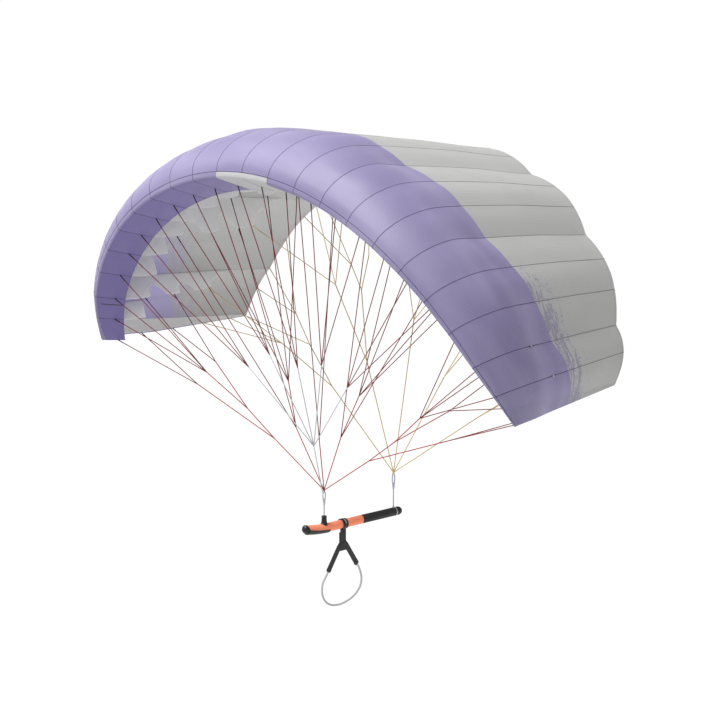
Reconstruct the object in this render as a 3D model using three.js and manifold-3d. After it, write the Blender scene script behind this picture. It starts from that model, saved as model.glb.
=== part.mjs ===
// Single skin parawing with ribs, a line bridle, a control bar and a harness loop.
// Millimetres, +Z up. The origin is on the bar's axis, where the rider's hands hold it.
// X runs along the span, and the nose of the wing faces -Y.
import * as THREE from 'three';
import { mergeVertices } from 'three/addons/utils/BufferGeometryUtils.js';
import Module from 'manifold-3d';

const wasm = await Module();
wasm.setup();

// Canopy plan. Stations count cells from the centre: 0 is the middle rib, 11 a tip.
const TIP = 11;
const GORE_STATIONS = [-11, -9, -6, -3, 0, 3, 6, 9, 11];
const CELL_ANGLE = 6.6;
const TIP_CELL_ANGLE = 5.5;
const TIP_CELLS_FROM = 9;

// Nose line: an elliptic arch in front view, swept back towards the tips.
const NOSE_HALF_WIDTH = 1170;
const NOSE_RISE = 1130;
const NOSE_TOP = 1332;
const NOSE_FRONT = -528;
const NOSE_SWEEP = 222;
const NOSE_SWEEP_POWER = 3;

// Trailing edge: a slightly smaller arch that comes forward towards the tips.
const TAIL_HALF_WIDTH = 1085;
const TAIL_TOE_IN = 45;
const TAIL_RISE = 1090;
const TAIL_BASE = 257;
const TAIL_TIP_DROP = 9;
const TAIL_BACK = 585;
const TAIL_FORWARD = 252;
const TAIL_POWER = 1.8;

// Cloth: thickness, billow between seams and between the ribs that carry lines.
const SHEET = 1.6;
const GAP = 0.3;
const GORE_BULGE = 20;
const GORE_SCALLOP = 14;
const CELL_BILLOW = 5;
const CAMBER_FADE = 1.1;
const CAMBER_FADE_POWER = 10;
const COLUMNS_PER_CELL = 2;
const NOSE_ROWS = 6;
const MAIN_ROWS = 6;
const LIP_ROWS = 5;
const NOSE_ROW_POWER = 1.5;

// Chord fraction where the purple nose cloth is sewn to the main cloth.
const COLOUR_SEAM = 0.352;
const COLOUR_SEAM_TIP = 0.185;
const COLOUR_SEAM_POWER = 3.8;

// Side profile of the skin, in fractions of the local chord.
const SKIN_PROFILE = [
  { along: 0, rise: 0 },
  { along: 0.012, rise: 0.04 },
  { along: 0.045, rise: 0.074 },
  { along: 0.1, rise: 0.097 },
  { along: 0.2, rise: 0.107 },
  { along: 0.32, rise: 0.101 },
  { along: 0.5, rise: 0.08 },
  { along: 0.7, rise: 0.052 },
  { along: 0.88, rise: 0.02 },
  { along: 1, rise: 0 },
];

// Side profile of the lower nose lip, from the nose seam back.
const LIP_PROFILE = [
  { along: 0, rise: 0 },
  { along: 0.03, rise: -0.026 },
  { along: 0.08, rise: -0.052 },
  { along: 0.135, rise: -0.06 },
];
const LIP_TIP_FADE = 0.2;
const LIP_SETBACK = 2.2;
const LIP_TIP_SETBACK = 10;
const INSERT_STATION = 1;

// Lower edges of the ribs behind the lip, in fractions of the local chord.
const RIB_SHEET = 1.5;
const RIB_CLEARANCE = 0.5;
const RIB_FRONT_ROW = 1;
const CARRIER_STATIONS = [-9, -6, -3, 0, 3, 6, 9];
const CARRIER_EDGE = [
  { along: 0.15, rise: -0.059 },
  { along: 0.238, rise: -0.068 },
  { along: 0.27, rise: -0.064 },
  { along: 0.297, rise: -0.002 },
  { along: 0.328, rise: 0.016 },
  { along: 0.35, rise: -0.012 },
  { along: 0.362, rise: -0.064 },
  { along: 0.397, rise: -0.076 },
  { along: 0.434, rise: -0.069 },
  { along: 0.46, rise: -0.012 },
  { along: 0.485, rise: 0.004 },
  { along: 0.506, rise: -0.016 },
  { along: 0.518, rise: -0.066 },
  { along: 0.53, rise: -0.072 },
  { along: 0.602, rise: -0.068 },
  { along: 0.65, rise: -0.012 },
  { along: 0.72, rise: 0.02 },
];
const CARRIER_END = 0.8;
const SHORT_EDGE = [
  { along: 0.15, rise: -0.059 },
  { along: 0.2, rise: -0.066 },
  { along: 0.263, rise: -0.067 },
];
const SHORT_END = 0.32;

// Line rows on the ribs: chord fraction and height as fractions of the chord.
const LINE_ROWS = {
  second: { along: 0.238, rise: -0.068 },
  third: { along: 0.397, rise: -0.076 },
  fourth: { along: 0.531, rise: -0.072 },
  fifth: { along: 0.6, rise: -0.068 },
};
const NOSE_LINE_ROW = 3;
const TIP_LINE_STATION = 10.985;
const LINE_RADIUS = 1;
const LINE_SIDES = 4;
const KNOT_RADIUS = 2.8;

// Knots of the bridle on the right side. The left side mirrors them.
const KNOTS = {
  frontRing: { x: 0, y: -141, z: 143.2 },
  noseRing: { x: 0, y: -148.8, z: 137 },
  rearRing: { x: 0, y: 215, z: 151.7 },
  outerMain: { x: 254, y: -157, z: 299 },
  tipFork: { x: 676, y: -174, z: 446 },
  outerFork: { x: 395, y: -166, z: 393 },
  outerFront: { x: 570, y: -216, z: 513 },
  outerBack: { x: 626, y: -126, z: 535 },
  innerMain: { x: 120, y: -169, z: 364 },
  innerBack: { x: 189, y: -144, z: 524 },
  centreMain: { x: 0, y: -164, z: 336 },
  noseMain: { x: 0, y: -191, z: 317 },
  noseOuter: { x: 264, y: -272, z: 584 },
  noseInner: { x: 139, y: -280, z: 648 },
  noseCentre: { x: 0, y: -268, z: 616 },
  rearOuter: { x: 392, y: 264, z: 419 },
  rearTip: { x: 647, y: 234, z: 558 },
  rearSide: { x: 581, y: 321, z: 551 },
  rearEdge: { x: 704, y: 360, z: 653 },
  rearInner: { x: 206, y: 274, z: 540 },
  rearRibs: { x: 398, y: 289, z: 814 },
  rearMiddle: { x: 363, y: 394, z: 787 },
  rearMiddleOut: { x: 461, y: 432, z: 871 },
  rearMiddleIn: { x: 392, y: 461, z: 910 },
  rearCentre: { x: 0, y: 320, z: 722 },
};

// Lines from knot to knot, and from a knot to places on the cloth.
const FRONT_LINKS = [
  { from: 'frontRing', to: 'outerMain' },
  { from: 'outerMain', to: 'tipFork' },
  { from: 'outerMain', to: 'outerFork' },
  { from: 'outerFork', to: 'outerFront' },
  { from: 'outerFork', to: 'outerBack' },
  { from: 'frontRing', to: 'innerMain' },
  { from: 'innerMain', to: 'innerBack' },
  { from: 'frontRing', to: 'centreMain' },
];
const FRONT_TIES = [
  { knot: 'tipFork', row: 'nose', stations: [TIP] },
  { knot: 'tipFork', row: 'tip', stations: [0.27] },
  { knot: 'outerFront', row: 'nose', stations: [10, 9, 8] },
  { knot: 'outerFront', row: 'second', stations: [9] },
  { knot: 'outerBack', row: 'third', stations: [9] },
  { knot: 'outerBack', row: 'tip', stations: [0.48] },
  { knot: 'innerMain', row: 'second', stations: [3, 6] },
  { knot: 'innerBack', row: 'third', stations: [3, 6] },
  { knot: 'innerBack', row: 'fourth', stations: [3, 6] },
  { knot: 'centreMain', row: 'second', stations: [0] },
  { knot: 'centreMain', row: 'third', stations: [0] },
];
const NOSE_LINKS = [
  { from: 'noseRing', to: 'noseMain' },
  { from: 'noseMain', to: 'noseOuter' },
  { from: 'noseMain', to: 'noseInner' },
  { from: 'noseMain', to: 'noseCentre' },
];
const NOSE_TIES = [
  { knot: 'noseOuter', row: 'nose', stations: [7, 6, 5] },
  { knot: 'noseInner', row: 'nose', stations: [4, 3, 2] },
  { knot: 'noseCentre', row: 'nose', stations: [0, 1] },
];
const REAR_LINKS = [
  { from: 'rearRing', to: 'rearOuter' },
  { from: 'rearOuter', to: 'rearTip' },
  { from: 'rearOuter', to: 'rearSide' },
  { from: 'rearSide', to: 'rearEdge' },
  { from: 'rearRing', to: 'rearInner' },
  { from: 'rearInner', to: 'rearRibs' },
  { from: 'rearInner', to: 'rearMiddle' },
  { from: 'rearMiddle', to: 'rearMiddleOut' },
  { from: 'rearMiddle', to: 'rearMiddleIn' },
  { from: 'rearRing', to: 'rearCentre' },
];
const REAR_TIES = [
  { knot: 'rearTip', row: 'tip', stations: [0.7, 0.89] },
  { knot: 'rearTip', row: 'fifth', stations: [9] },
  { knot: 'rearSide', row: 'edge', stations: [TIP] },
  { knot: 'rearEdge', row: 'edge', stations: [10, 9, 8] },
  { knot: 'rearRibs', row: 'fifth', stations: [3, 6] },
  { knot: 'rearRibs', row: 'edge', stations: [5] },
  { knot: 'rearMiddleOut', row: 'edge', stations: [6, 7] },
  { knot: 'rearMiddleIn', row: 'edge', stations: [4] },
  { knot: 'rearCentre', row: 'edge', stations: [0, 3] },
];

// Control bar, along Y. Its front end curves up.
const BAR_RADIUS = 16.4;
const BAR_SIDES = 24;
const GRIP_STEPS = 10;
const BAR_FRONT = -222;
const BAR_TIP = -246;
const BAR_BEND_FROM = -120;
const BAR_BEND = 0.00083;
const GRIP_JOIN = 46;
const REAR_GRIP_END = 217.7;
const BAND_WIDTH = 5;
const BAND_RADIUS = 16.9;
const BAR_END = 255;
const END_ROUND = 18;
const TONGUE_BACK = -124;
const TONGUE_THICKNESS = 3.2;
const TONGUE_DROP = 3;
const COLLAR_AT = -47;
const COLLAR_WIDTH = 24;
const COLLAR_RADIUS = 20;
const POST_AT = -141;
const POST_TOP = 47;
const POST_BASE_RADIUS = 12.5;
const POST_TOP_RADIUS = 8.5;

// Pigtail ropes on the bar, each ending in a spliced loop.
const PIGTAIL_RADIUS = 2.3;
const SPLICE_RADIUS = 4.2;
const SPLICE_HALF = 11;
const LOOP_HALF_WIDTH = 6;
const FRONT_SPLICE = 97;
const FRONT_LOOP_TOP = 140;
const REAR_SPLICE = 98;
const REAR_LOOP_TOP = 148.5;
const REAR_PIGTAIL_AT = 215;

// Harness part below the collar, in the plane of the bar.
const STRAP_WIDTH = 27;
const STRAP_THICKNESS = 6;
const STRAP_AT = COLLAR_AT;
const STRAP_TOP = -(COLLAR_RADIUS + GAP);
const STRAP_BOTTOM = -102;
const POCKET_WIDTH = 30;
const POCKET_THICKNESS = 9;
const POCKET_TOP = -64;
const SLEEVE_HALF_WIDTH = 10;
const SLEEVE_HALF_THICKNESS = 4;
const SLEEVE_SIDES = 16;
const SLEEVE_TOP_SPREAD = 15;
const SLEEVE_TOP = -80;
const ROPE_RADIUS = 4;
const ROPE_SIDES = 8;
const ROPE_STEPS = 48;
const ROPE_ROUTE = [
  { y: -122, z: -171 },
  { y: -125.1, z: -175.7 },
  { y: -133, z: -186.5 },
  { y: -144, z: -201 },
  { y: -151, z: -217 },
  { y: -153, z: -235 },
  { y: -151, z: -253 },
  { y: -144, z: -270 },
  { y: -132, z: -285 },
  { y: -115, z: -297 },
  { y: -94, z: -304 },
  { y: -70, z: -306.5 },
  { y: -46, z: -305 },
  { y: -22, z: -300 },
  { y: 0, z: -292 },
  { y: 19, z: -281 },
  { y: 34, z: -267 },
  { y: 44, z: -251 },
  { y: 48, z: -234 },
  { y: 47, z: -216 },
  { y: 42, z: -199 },
  { y: 34.5, z: -182 },
  { y: 28.1, z: -171.7 },
  { y: 25, z: -167 },
];

// Finishes.
const PURPLE = { color: 0xa79cc8, roughness: 0.7, metalness: 0 };
const GREY = { color: 0xbdbdbd, roughness: 0.75, metalness: 0 };
const WHITE = { color: 0xd8d8d8, roughness: 0.75, metalness: 0 };
const RED_LINE = { color: 0x963c3c, roughness: 0.8, metalness: 0 };
const GREY_LINE = { color: 0xb9bec2, roughness: 0.8, metalness: 0 };
const YELLOW_LINE = { color: 0xbea55f, roughness: 0.8, metalness: 0 };
const ORANGE_GRIP = { color: 0xf07d5a, roughness: 0.7, metalness: 0 };
const BLACK_GRIP = { color: 0x2a2a2c, roughness: 0.75, metalness: 0 };
const BLACK_PLASTIC = { color: 0x202022, roughness: 0.45, metalness: 0 };
const STEEL = { color: 0xb8bcc0, roughness: 0.3, metalness: 1 };
const WEBBING = { color: 0x2c2c2e, roughness: 0.85, metalness: 0 };
const GREY_ROPE = { color: 0xa5a5a8, roughness: 0.8, metalness: 0 };

const group = new THREE.Group();

function addPiece(name, geometry, finish) {
  const mesh = new THREE.Mesh(geometry, new THREE.MeshStandardMaterial(finish));
  mesh.name = name;
  group.add(mesh);
  return mesh;
}

// Joins and cuts.
function toSolid(geometry) {
  const bare = geometry.clone();
  bare.deleteAttribute('normal');
  bare.deleteAttribute('uv');
  const merged = mergeVertices(bare, 1e-4);
  const vertProperties = new Float32Array(merged.attributes.position.array);
  const triVerts = new Uint32Array(merged.index.array);
  return new wasm.Manifold(new wasm.Mesh({ numProp: 3, vertProperties, triVerts }));
}

function toGeometry(solid) {
  const mesh = solid.getMesh();
  const geometry = new THREE.BufferGeometry();
  geometry.setAttribute('position', new THREE.BufferAttribute(new Float32Array(mesh.vertProperties), 3));
  geometry.setIndex(new THREE.BufferAttribute(new Uint32Array(mesh.triVerts), 1));
  return geometry;
}

function joined(geometries) {
  const [first, ...rest] = geometries.map(toSolid);
  return toGeometry(rest.reduce((sum, next) => sum.add(next), first));
}

// Canopy surface.
const skinCurve = new THREE.SplineCurve(SKIN_PROFILE.map((p) => new THREE.Vector2(p.along, p.rise)));
const lipCurve = new THREE.SplineCurve(LIP_PROFILE.map((p) => new THREE.Vector2(p.along, p.rise)));

function stationAngle(station) {
  const cells = Math.abs(station);
  const degrees = CELL_ANGLE * Math.min(cells, TIP_CELLS_FROM)
    + TIP_CELL_ANGLE * Math.max(cells - TIP_CELLS_FROM, 0);
  return Math.sign(station) * THREE.MathUtils.degToRad(degrees);
}

function tipShare(station, power) {
  return Math.pow(Math.abs(station) / TIP, power);
}

// Height between the ribs that carry lines: 0 on each of them, 1 in the middle of a gore.
function goreHeight(station) {
  const at = Math.min(Math.abs(station), TIP);
  const edges = GORE_STATIONS.filter((s) => s >= 0);
  const high = edges.find((s) => s > 0 && s >= at - 1e-9);
  const low = edges[edges.indexOf(high) - 1];
  const t = (at - low) / (high - low);
  return 4 * t * (1 - t);
}

function cellHeight(station) {
  const t = Math.abs(station) % 1;
  return 4 * t * (1 - t);
}

function camberScale(station) {
  return 1 - CAMBER_FADE * tipShare(station, CAMBER_FADE_POWER);
}

// The plane of a rib: its nose point, chord direction, height direction and chord length.
function ribFrame(station) {
  const angle = stationAngle(station);
  const nose = new THREE.Vector3(
    NOSE_HALF_WIDTH * Math.sin(angle),
    NOSE_FRONT + NOSE_SWEEP * tipShare(station, NOSE_SWEEP_POWER),
    NOSE_TOP - NOSE_RISE * (1 - Math.cos(angle)),
  );
  const tail = new THREE.Vector3(
    (TAIL_HALF_WIDTH - TAIL_TOE_IN * tipShare(station, 4)) * Math.sin(angle),
    TAIL_BACK - TAIL_FORWARD * tipShare(station, TAIL_POWER),
    TAIL_BASE + TAIL_RISE * Math.cos(angle) - TAIL_TIP_DROP * tipShare(station, 6),
  );
  const chord = tail.clone().sub(nose);
  const length = chord.length();
  chord.normalize();
  const up = new THREE.Vector3(Math.sin(angle), 0, Math.cos(angle));
  up.addScaledVector(chord, -up.dot(chord)).normalize();
  return { nose, chord, up, length };
}

function inFrame(frame, along, rise) {
  return frame.nose.clone().addScaledVector(frame.chord, along).addScaledVector(frame.up, rise);
}

// Place of the skin in its rib plane, in millimetres, with depth measured into the wing.
function skinPlace(station, t, depth) {
  const { length } = ribFrame(station);
  const point = skinCurve.getPointAt(t);
  const slope = skinCurve.getTangentAt(t);
  slope.y *= camberScale(station);
  slope.normalize();
  const spread = THREE.MathUtils.smoothstep(point.x, 0, 0.3);
  const tight = THREE.MathUtils.smoothstep(point.x, 0, 0.15);
  const gore = goreHeight(station);
  const along = point.x * length + GORE_SCALLOP * gore * Math.pow(point.x, 3);
  const rise = point.y * camberScale(station) * length + GORE_BULGE * gore * spread
    + CELL_BILLOW * cellHeight(station) * tight;
  return { along: along + slope.y * depth, rise: rise - slope.x * depth };
}

function skinPoint(station, t, depth) {
  const place = skinPlace(station, t, depth);
  return inFrame(ribFrame(station), place.along, place.rise);
}

function lipPlace(station, t, depth) {
  const { length } = ribFrame(station);
  const fade = 1 - LIP_TIP_FADE * tipShare(station, 8);
  const point = lipCurve.getPointAt(t);
  const slope = lipCurve.getTangentAt(t);
  slope.y *= fade;
  slope.normalize();
  return {
    along: point.x * length - slope.y * depth,
    rise: point.y * fade * length + slope.x * depth,
  };
}

function lipPoint(station, t, depth) {
  const place = lipPlace(station, t, depth);
  return inFrame(ribFrame(station), place.along, place.rise);
}

// Curve position whose chord fraction is given.
function curveAt(curve, along) {
  let low = 0;
  let high = 1;
  for (let i = 0; i < 30; i += 1) {
    const middle = (low + high) / 2;
    if (curve.getPointAt(middle).x < along) {
      low = middle;
    } else {
      high = middle;
    }
  }
  return (low + high) / 2;
}

function seamAt(station) {
  return curveAt(skinCurve, COLOUR_SEAM + COLOUR_SEAM_TIP * tipShare(station, COLOUR_SEAM_POWER));
}

function noseRow(station, row) {
  return seamAt(station) * Math.pow(row / NOSE_ROWS, NOSE_ROW_POWER);
}

function mainRow(station, row) {
  const seam = seamAt(station);
  return seam + (1 - seam) * (row / MAIN_ROWS);
}

function lipStart(station) {
  const setback = LIP_SETBACK + LIP_TIP_SETBACK * Math.pow(1 - camberScale(station), 2);
  return setback / (lipCurve.getLength() * ribFrame(station).length);
}

// A closed sheet from a grid of points on its outer and inner faces.
function sheetGeometry(columns, rows, pointAt, reverse) {
  const positions = [];
  const index = [];
  const perFace = (columns + 1) * (rows + 1);
  for (const inner of [false, true]) {
    for (let i = 0; i <= columns; i += 1) {
      for (let j = 0; j <= rows; j += 1) {
        positions.push(...pointAt(i, j, inner).toArray());
      }
    }
  }
  const at = (i, j, inner) => (inner ? perFace : 0) + i * (rows + 1) + j;
  const quad = (a, b, c, d) => {
    const faces = reverse ? [a, c, b, a, d, c] : [a, b, c, a, c, d];
    index.push(...faces);
  };
  for (let i = 0; i < columns; i += 1) {
    for (let j = 0; j < rows; j += 1) {
      quad(at(i, j, false), at(i + 1, j, false), at(i + 1, j + 1, false), at(i, j + 1, false));
      quad(at(i, j, true), at(i, j + 1, true), at(i + 1, j + 1, true), at(i + 1, j, true));
    }
  }
  for (let i = 0; i < columns; i += 1) {
    quad(at(i, 0, true), at(i + 1, 0, true), at(i + 1, 0, false), at(i, 0, false));
    quad(at(i, rows, false), at(i + 1, rows, false), at(i + 1, rows, true), at(i, rows, true));
  }
  for (let j = 0; j < rows; j += 1) {
    quad(at(0, j, false), at(0, j + 1, false), at(0, j + 1, true), at(0, j, true));
    quad(at(columns, j, true), at(columns, j + 1, true), at(columns, j + 1, false), at(columns, j, false));
  }
  const geometry = new THREE.BufferGeometry();
  geometry.setAttribute('position', new THREE.Float32BufferAttribute(positions, 3));
  geometry.setIndex(index);
  return geometry;
}

// Station of a column, kept clear of the neighbouring panel by half a gap.
function columnStation(from, to, column, columns) {
  const half = GAP / 2 / (THREE.MathUtils.degToRad(CELL_ANGLE) * NOSE_RISE);
  const low = from + half;
  const high = to - half;
  return low + ((high - low) * column) / columns;
}

function addSkin() {
  for (let g = 0; g + 1 < GORE_STATIONS.length; g += 1) {
    const from = GORE_STATIONS[g];
    const to = GORE_STATIONS[g + 1];
    const columns = (to - from) * COLUMNS_PER_CELL;
    const nose = (i, j, inner) => {
      const station = columnStation(from, to, i, columns);
      return skinPoint(station, noseRow(station, j), inner ? SHEET : 0);
    };
    const main = (i, j, inner) => {
      const station = columnStation(from, to, i, columns);
      const clear = j === 0 ? GAP / ribFrame(station).length : 0;
      return skinPoint(station, mainRow(station, j) + clear, inner ? SHEET : 0);
    };
    addPiece(`nose_panel_${g + 1}`, sheetGeometry(columns, NOSE_ROWS, nose, false), PURPLE);
    addPiece(`main_panel_${g + 1}`, sheetGeometry(columns, MAIN_ROWS, main, false), GREY);
  }
}

function addLip(name, from, to, finish) {
  const columns = (to - from) * COLUMNS_PER_CELL;
  const lip = (i, j, inner) => {
    const station = columnStation(from, to, i, columns);
    const start = lipStart(station);
    return lipPoint(station, start + (1 - start) * (j / LIP_ROWS), inner ? SHEET : 0);
  };
  addPiece(name, sheetGeometry(columns, LIP_ROWS, lip, true), finish);
}

// Ribs hang from the skin, and stand on the lip at the nose.
function ribOutline(station, edge, end) {
  const { length } = ribFrame(station);
  const depth = SHEET + RIB_CLEARANCE;
  const rows = [];
  for (let j = RIB_FRONT_ROW; j <= NOSE_ROWS; j += 1) {
    rows.push(skinPlace(station, noseRow(station, j), depth));
  }
  for (let j = 1; j <= MAIN_ROWS; j += 1) {
    rows.push(skinPlace(station, mainRow(station, j), depth));
  }
  const stop = end * length;
  const top = rows.filter((place) => place.along < stop);
  const last = top[top.length - 1];
  const next = rows[top.length];
  const share = (stop - last.along) / (next.along - last.along);
  top.push({ along: stop, rise: last.rise + (next.rise - last.rise) * share });
  const bottom = [];
  const start = lipStart(station);
  for (let j = 1; j <= LIP_ROWS; j += 1) {
    bottom.push(lipPlace(station, start + (1 - start) * (j / LIP_ROWS), depth));
  }
  for (const point of edge) {
    bottom.push({ along: point.along * length, rise: point.rise * length });
  }
  return [...bottom, ...top.reverse()];
}

function addRib(station) {
  const carrier = CARRIER_STATIONS.includes(station);
  const outline = carrier
    ? ribOutline(station, CARRIER_EDGE, CARRIER_END)
    : ribOutline(station, SHORT_EDGE, SHORT_END);
  const shape = new THREE.Shape(outline.map((p) => new THREE.Vector2(p.along, p.rise)));
  const geometry = new THREE.ExtrudeGeometry(shape, { depth: RIB_SHEET, bevelEnabled: false });
  geometry.translate(0, 0, -RIB_SHEET / 2);
  const { nose, chord, up } = ribFrame(station);
  const span = chord.clone().cross(up);
  geometry.applyMatrix4(new THREE.Matrix4().makeBasis(chord, up, span).setPosition(nose));
  const side = station < 0 ? 'left' : 'right';
  const name = station === 0 ? 'rib_centre' : `rib_${side}_${Math.abs(station)}`;
  addPiece(name, geometry, GREY);
}

// Bridle.
function lineGeometry(from, to) {
  const length = from.distanceTo(to);
  const geometry = new THREE.CylinderGeometry(LINE_RADIUS, LINE_RADIUS, length, LINE_SIDES);
  const direction = to.clone().sub(from).normalize();
  const turn = new THREE.Quaternion().setFromUnitVectors(new THREE.Vector3(0, 1, 0), direction);
  const middle = from.clone().add(to).multiplyScalar(0.5);
  geometry.applyMatrix4(new THREE.Matrix4().compose(middle, turn, new THREE.Vector3(1, 1, 1)));
  return geometry;
}

function knotPoint(name, side) {
  const knot = KNOTS[name];
  return new THREE.Vector3(knot.x * side, knot.y, knot.z);
}

function knotGeometry(point) {
  return new THREE.OctahedronGeometry(KNOT_RADIUS, 0).translate(point.x, point.y, point.z);
}

// Direction out of the skin's inner face.
function skinInward(station, t) {
  const step = 0.01;
  const ahead = Math.min(t + step, 1);
  const along = skinPoint(station, ahead, SHEET).sub(skinPoint(station, t - step, SHEET));
  const reach = 1 / COLUMNS_PER_CELL;
  const right = skinPoint(THREE.MathUtils.clamp(station + reach, -TIP, TIP), t, SHEET);
  const left = skinPoint(THREE.MathUtils.clamp(station - reach, -TIP, TIP), t, SHEET);
  const across = right.sub(left);
  return along.cross(across).normalize();
}

// Where a line is sewn on: a point on the cloth and the direction out of it.
function tiePlace(row, station, side) {
  const at = Math.min(station, TIP_LINE_STATION) * side;
  if (row === 'nose') {
    const start = lipStart(at);
    const t = start + (1 - start) * (NOSE_LINE_ROW / LIP_ROWS);
    const inside = lipPoint(at, t, 1);
    const point = lipPoint(at, t, 0);
    return { point, out: point.clone().sub(inside) };
  }
  if (row === 'edge') {
    return { point: skinPoint(at, 1, SHEET), out: skinInward(at, 1) };
  }
  if (row === 'tip') {
    const t = curveAt(skinCurve, station);
    const tip = TIP_LINE_STATION * side;
    return { point: skinPoint(tip, t, SHEET), out: skinInward(tip, t) };
  }
  const frame = ribFrame(at);
  const { along, rise } = LINE_ROWS[row];
  return { point: inFrame(frame, along * frame.length, rise * frame.length), out: frame.up.clone().negate() };
}

// End of a line that comes from a knot, lifted until its whole end face clears the cloth.
function tiePoint(row, station, side, knot) {
  const { point, out } = tiePlace(row, station, side);
  const lean = knot.clone().sub(point).normalize().cross(out).length();
  return point.addScaledVector(out, GAP + LINE_RADIUS * lean);
}

function bridleGeometry(links, ties) {
  const parts = [];
  const knots = new Set();
  const tieKnot = (name) => {
    if (!knots.has(name)) {
      knots.add(name);
      const sides = KNOTS[name].x > 0 ? [1, -1] : [1];
      sides.forEach((side) => parts.push(knotGeometry(knotPoint(name, side))));
    }
  };
  for (const { from, to } of links) {
    tieKnot(from);
    tieKnot(to);
    const sides = KNOTS[to].x > 0 ? [1, -1] : [1];
    sides.forEach((side) => parts.push(lineGeometry(knotPoint(from, side), knotPoint(to, side))));
  }
  for (const { knot, row, stations } of ties) {
    for (const station of stations) {
      const single = KNOTS[knot].x === 0 && station === 0;
      const sides = single ? [1] : [1, -1];
      for (const side of sides) {
        const start = knotPoint(knot, side);
        parts.push(lineGeometry(start, tiePoint(row, station, side, start)));
      }
    }
  }
  return joined(parts);
}

// Control bar.
function barHeight(y) {
  return y < BAR_BEND_FROM ? BAR_BEND * (y - BAR_BEND_FROM) ** 2 : 0;
}

function barCurve(from, to, count) {
  const points = [];
  for (let i = 0; i <= count; i += 1) {
    const y = from + ((to - from) * i) / count;
    points.push(new THREE.Vector3(0, y, barHeight(y)));
  }
  return new THREE.CatmullRomCurve3(points);
}

// Axis of the front grip, lengthened at the front.
function gripCurve(extra) {
  return barCurve(BAR_FRONT - extra, GRIP_JOIN - GAP / 2, GRIP_STEPS);
}

function circleShape(radius, sides) {
  const points = [];
  for (let i = 0; i < sides; i += 1) {
    const angle = (2 * Math.PI * i) / sides;
    points.push(new THREE.Vector2(radius * Math.cos(angle), radius * Math.sin(angle)));
  }
  return new THREE.Shape(points);
}

function tubeGeometry(curve, radius, sides, steps) {
  return new THREE.ExtrudeGeometry(circleShape(radius, sides), { steps, extrudePath: curve, curveSegments: 1 });
}

function turnedGeometry(profile) {
  return new THREE.LatheGeometry(profile.map(([r, y]) => new THREE.Vector2(r, y)), BAR_SIDES);
}

function addBar() {
  const grip = tubeGeometry(gripCurve(0), BAR_RADIUS, BAR_SIDES, GRIP_STEPS);
  addPiece('bar_front_grip', grip, ORANGE_GRIP);
  addPiece('bar_rear_grip', turnedGeometry([
    [0, GRIP_JOIN + GAP / 2],
    [BAR_RADIUS, GRIP_JOIN + GAP / 2],
    [BAR_RADIUS, REAR_GRIP_END],
    [0, REAR_GRIP_END],
  ]), BLACK_GRIP);
  const bandStart = REAR_GRIP_END + GAP;
  addPiece('bar_end_band', turnedGeometry([
    [0, bandStart],
    [BAND_RADIUS, bandStart],
    [BAND_RADIUS, bandStart + BAND_WIDTH],
    [0, bandStart + BAND_WIDTH],
  ]), STEEL);
  const capStart = bandStart + BAND_WIDTH + GAP;
  const roundStart = BAR_END - END_ROUND;
  const dome = [[0, capStart], [BAR_RADIUS, capStart], [BAR_RADIUS, roundStart]];
  for (let i = 1; i <= 5; i += 1) {
    const angle = (Math.PI / 2) * (i / 5);
    dome.push([BAR_RADIUS * Math.cos(angle), roundStart + END_ROUND * Math.sin(angle)]);
  }
  dome[dome.length - 1][0] = 0;
  addPiece('bar_end_cap', turnedGeometry(dome), BLACK_PLASTIC);
}

// Nose cap: a rounded end with a tongue that runs back under the grip.
function addNoseCap() {
  const lead = gripCurve(0).getTangent(0);
  const reach = BAR_FRONT - BAR_TIP - GAP;
  const dome = [[0, 0], [BAR_RADIUS, 0]];
  for (let i = 1; i <= 5; i += 1) {
    const angle = (Math.PI / 2) * (i / 5);
    dome.push([BAR_RADIUS * Math.cos(angle), reach * Math.sin(angle)]);
  }
  dome[dome.length - 1][0] = 0;
  const cap = turnedGeometry(dome);
  cap.rotateX(Math.PI);
  cap.translate(0, -GAP, 0);
  cap.rotateX(Math.atan2(lead.z, lead.y));
  cap.translate(0, BAR_FRONT, barHeight(BAR_FRONT));
  const outer = tubeGeometry(
    barCurve(BAR_FRONT - 8, TONGUE_BACK, 6),
    BAR_RADIUS + TONGUE_THICKNESS,
    BAR_SIDES,
    6,
  );
  const inner = tubeGeometry(gripCurve(GAP), BAR_RADIUS + GAP, BAR_SIDES, GRIP_STEPS);
  const rise = barHeight(BAR_FRONT) - barHeight(TONGUE_BACK);
  const below = new THREE.BoxGeometry(60, 200, 60);
  below.translate(0, 0, -30 - TONGUE_DROP);
  below.rotateX(Math.atan2(-rise, TONGUE_BACK - BAR_FRONT));
  below.translate(0, BAR_FRONT, barHeight(BAR_FRONT));
  const tongue = toSolid(outer).intersect(toSolid(below)).subtract(toSolid(inner));
  addPiece('bar_nose_cap', toGeometry(toSolid(cap).add(tongue)), BLACK_PLASTIC);
}

function addCollar() {
  const half = COLLAR_WIDTH / 2;
  const bore = BAR_RADIUS + GAP;
  addPiece('bar_collar', turnedGeometry([
    [bore, COLLAR_AT - half],
    [COLLAR_RADIUS, COLLAR_AT - half],
    [COLLAR_RADIUS, COLLAR_AT + half],
    [bore, COLLAR_AT + half],
    [bore, COLLAR_AT - half],
  ]), BLACK_PLASTIC);
}

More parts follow.
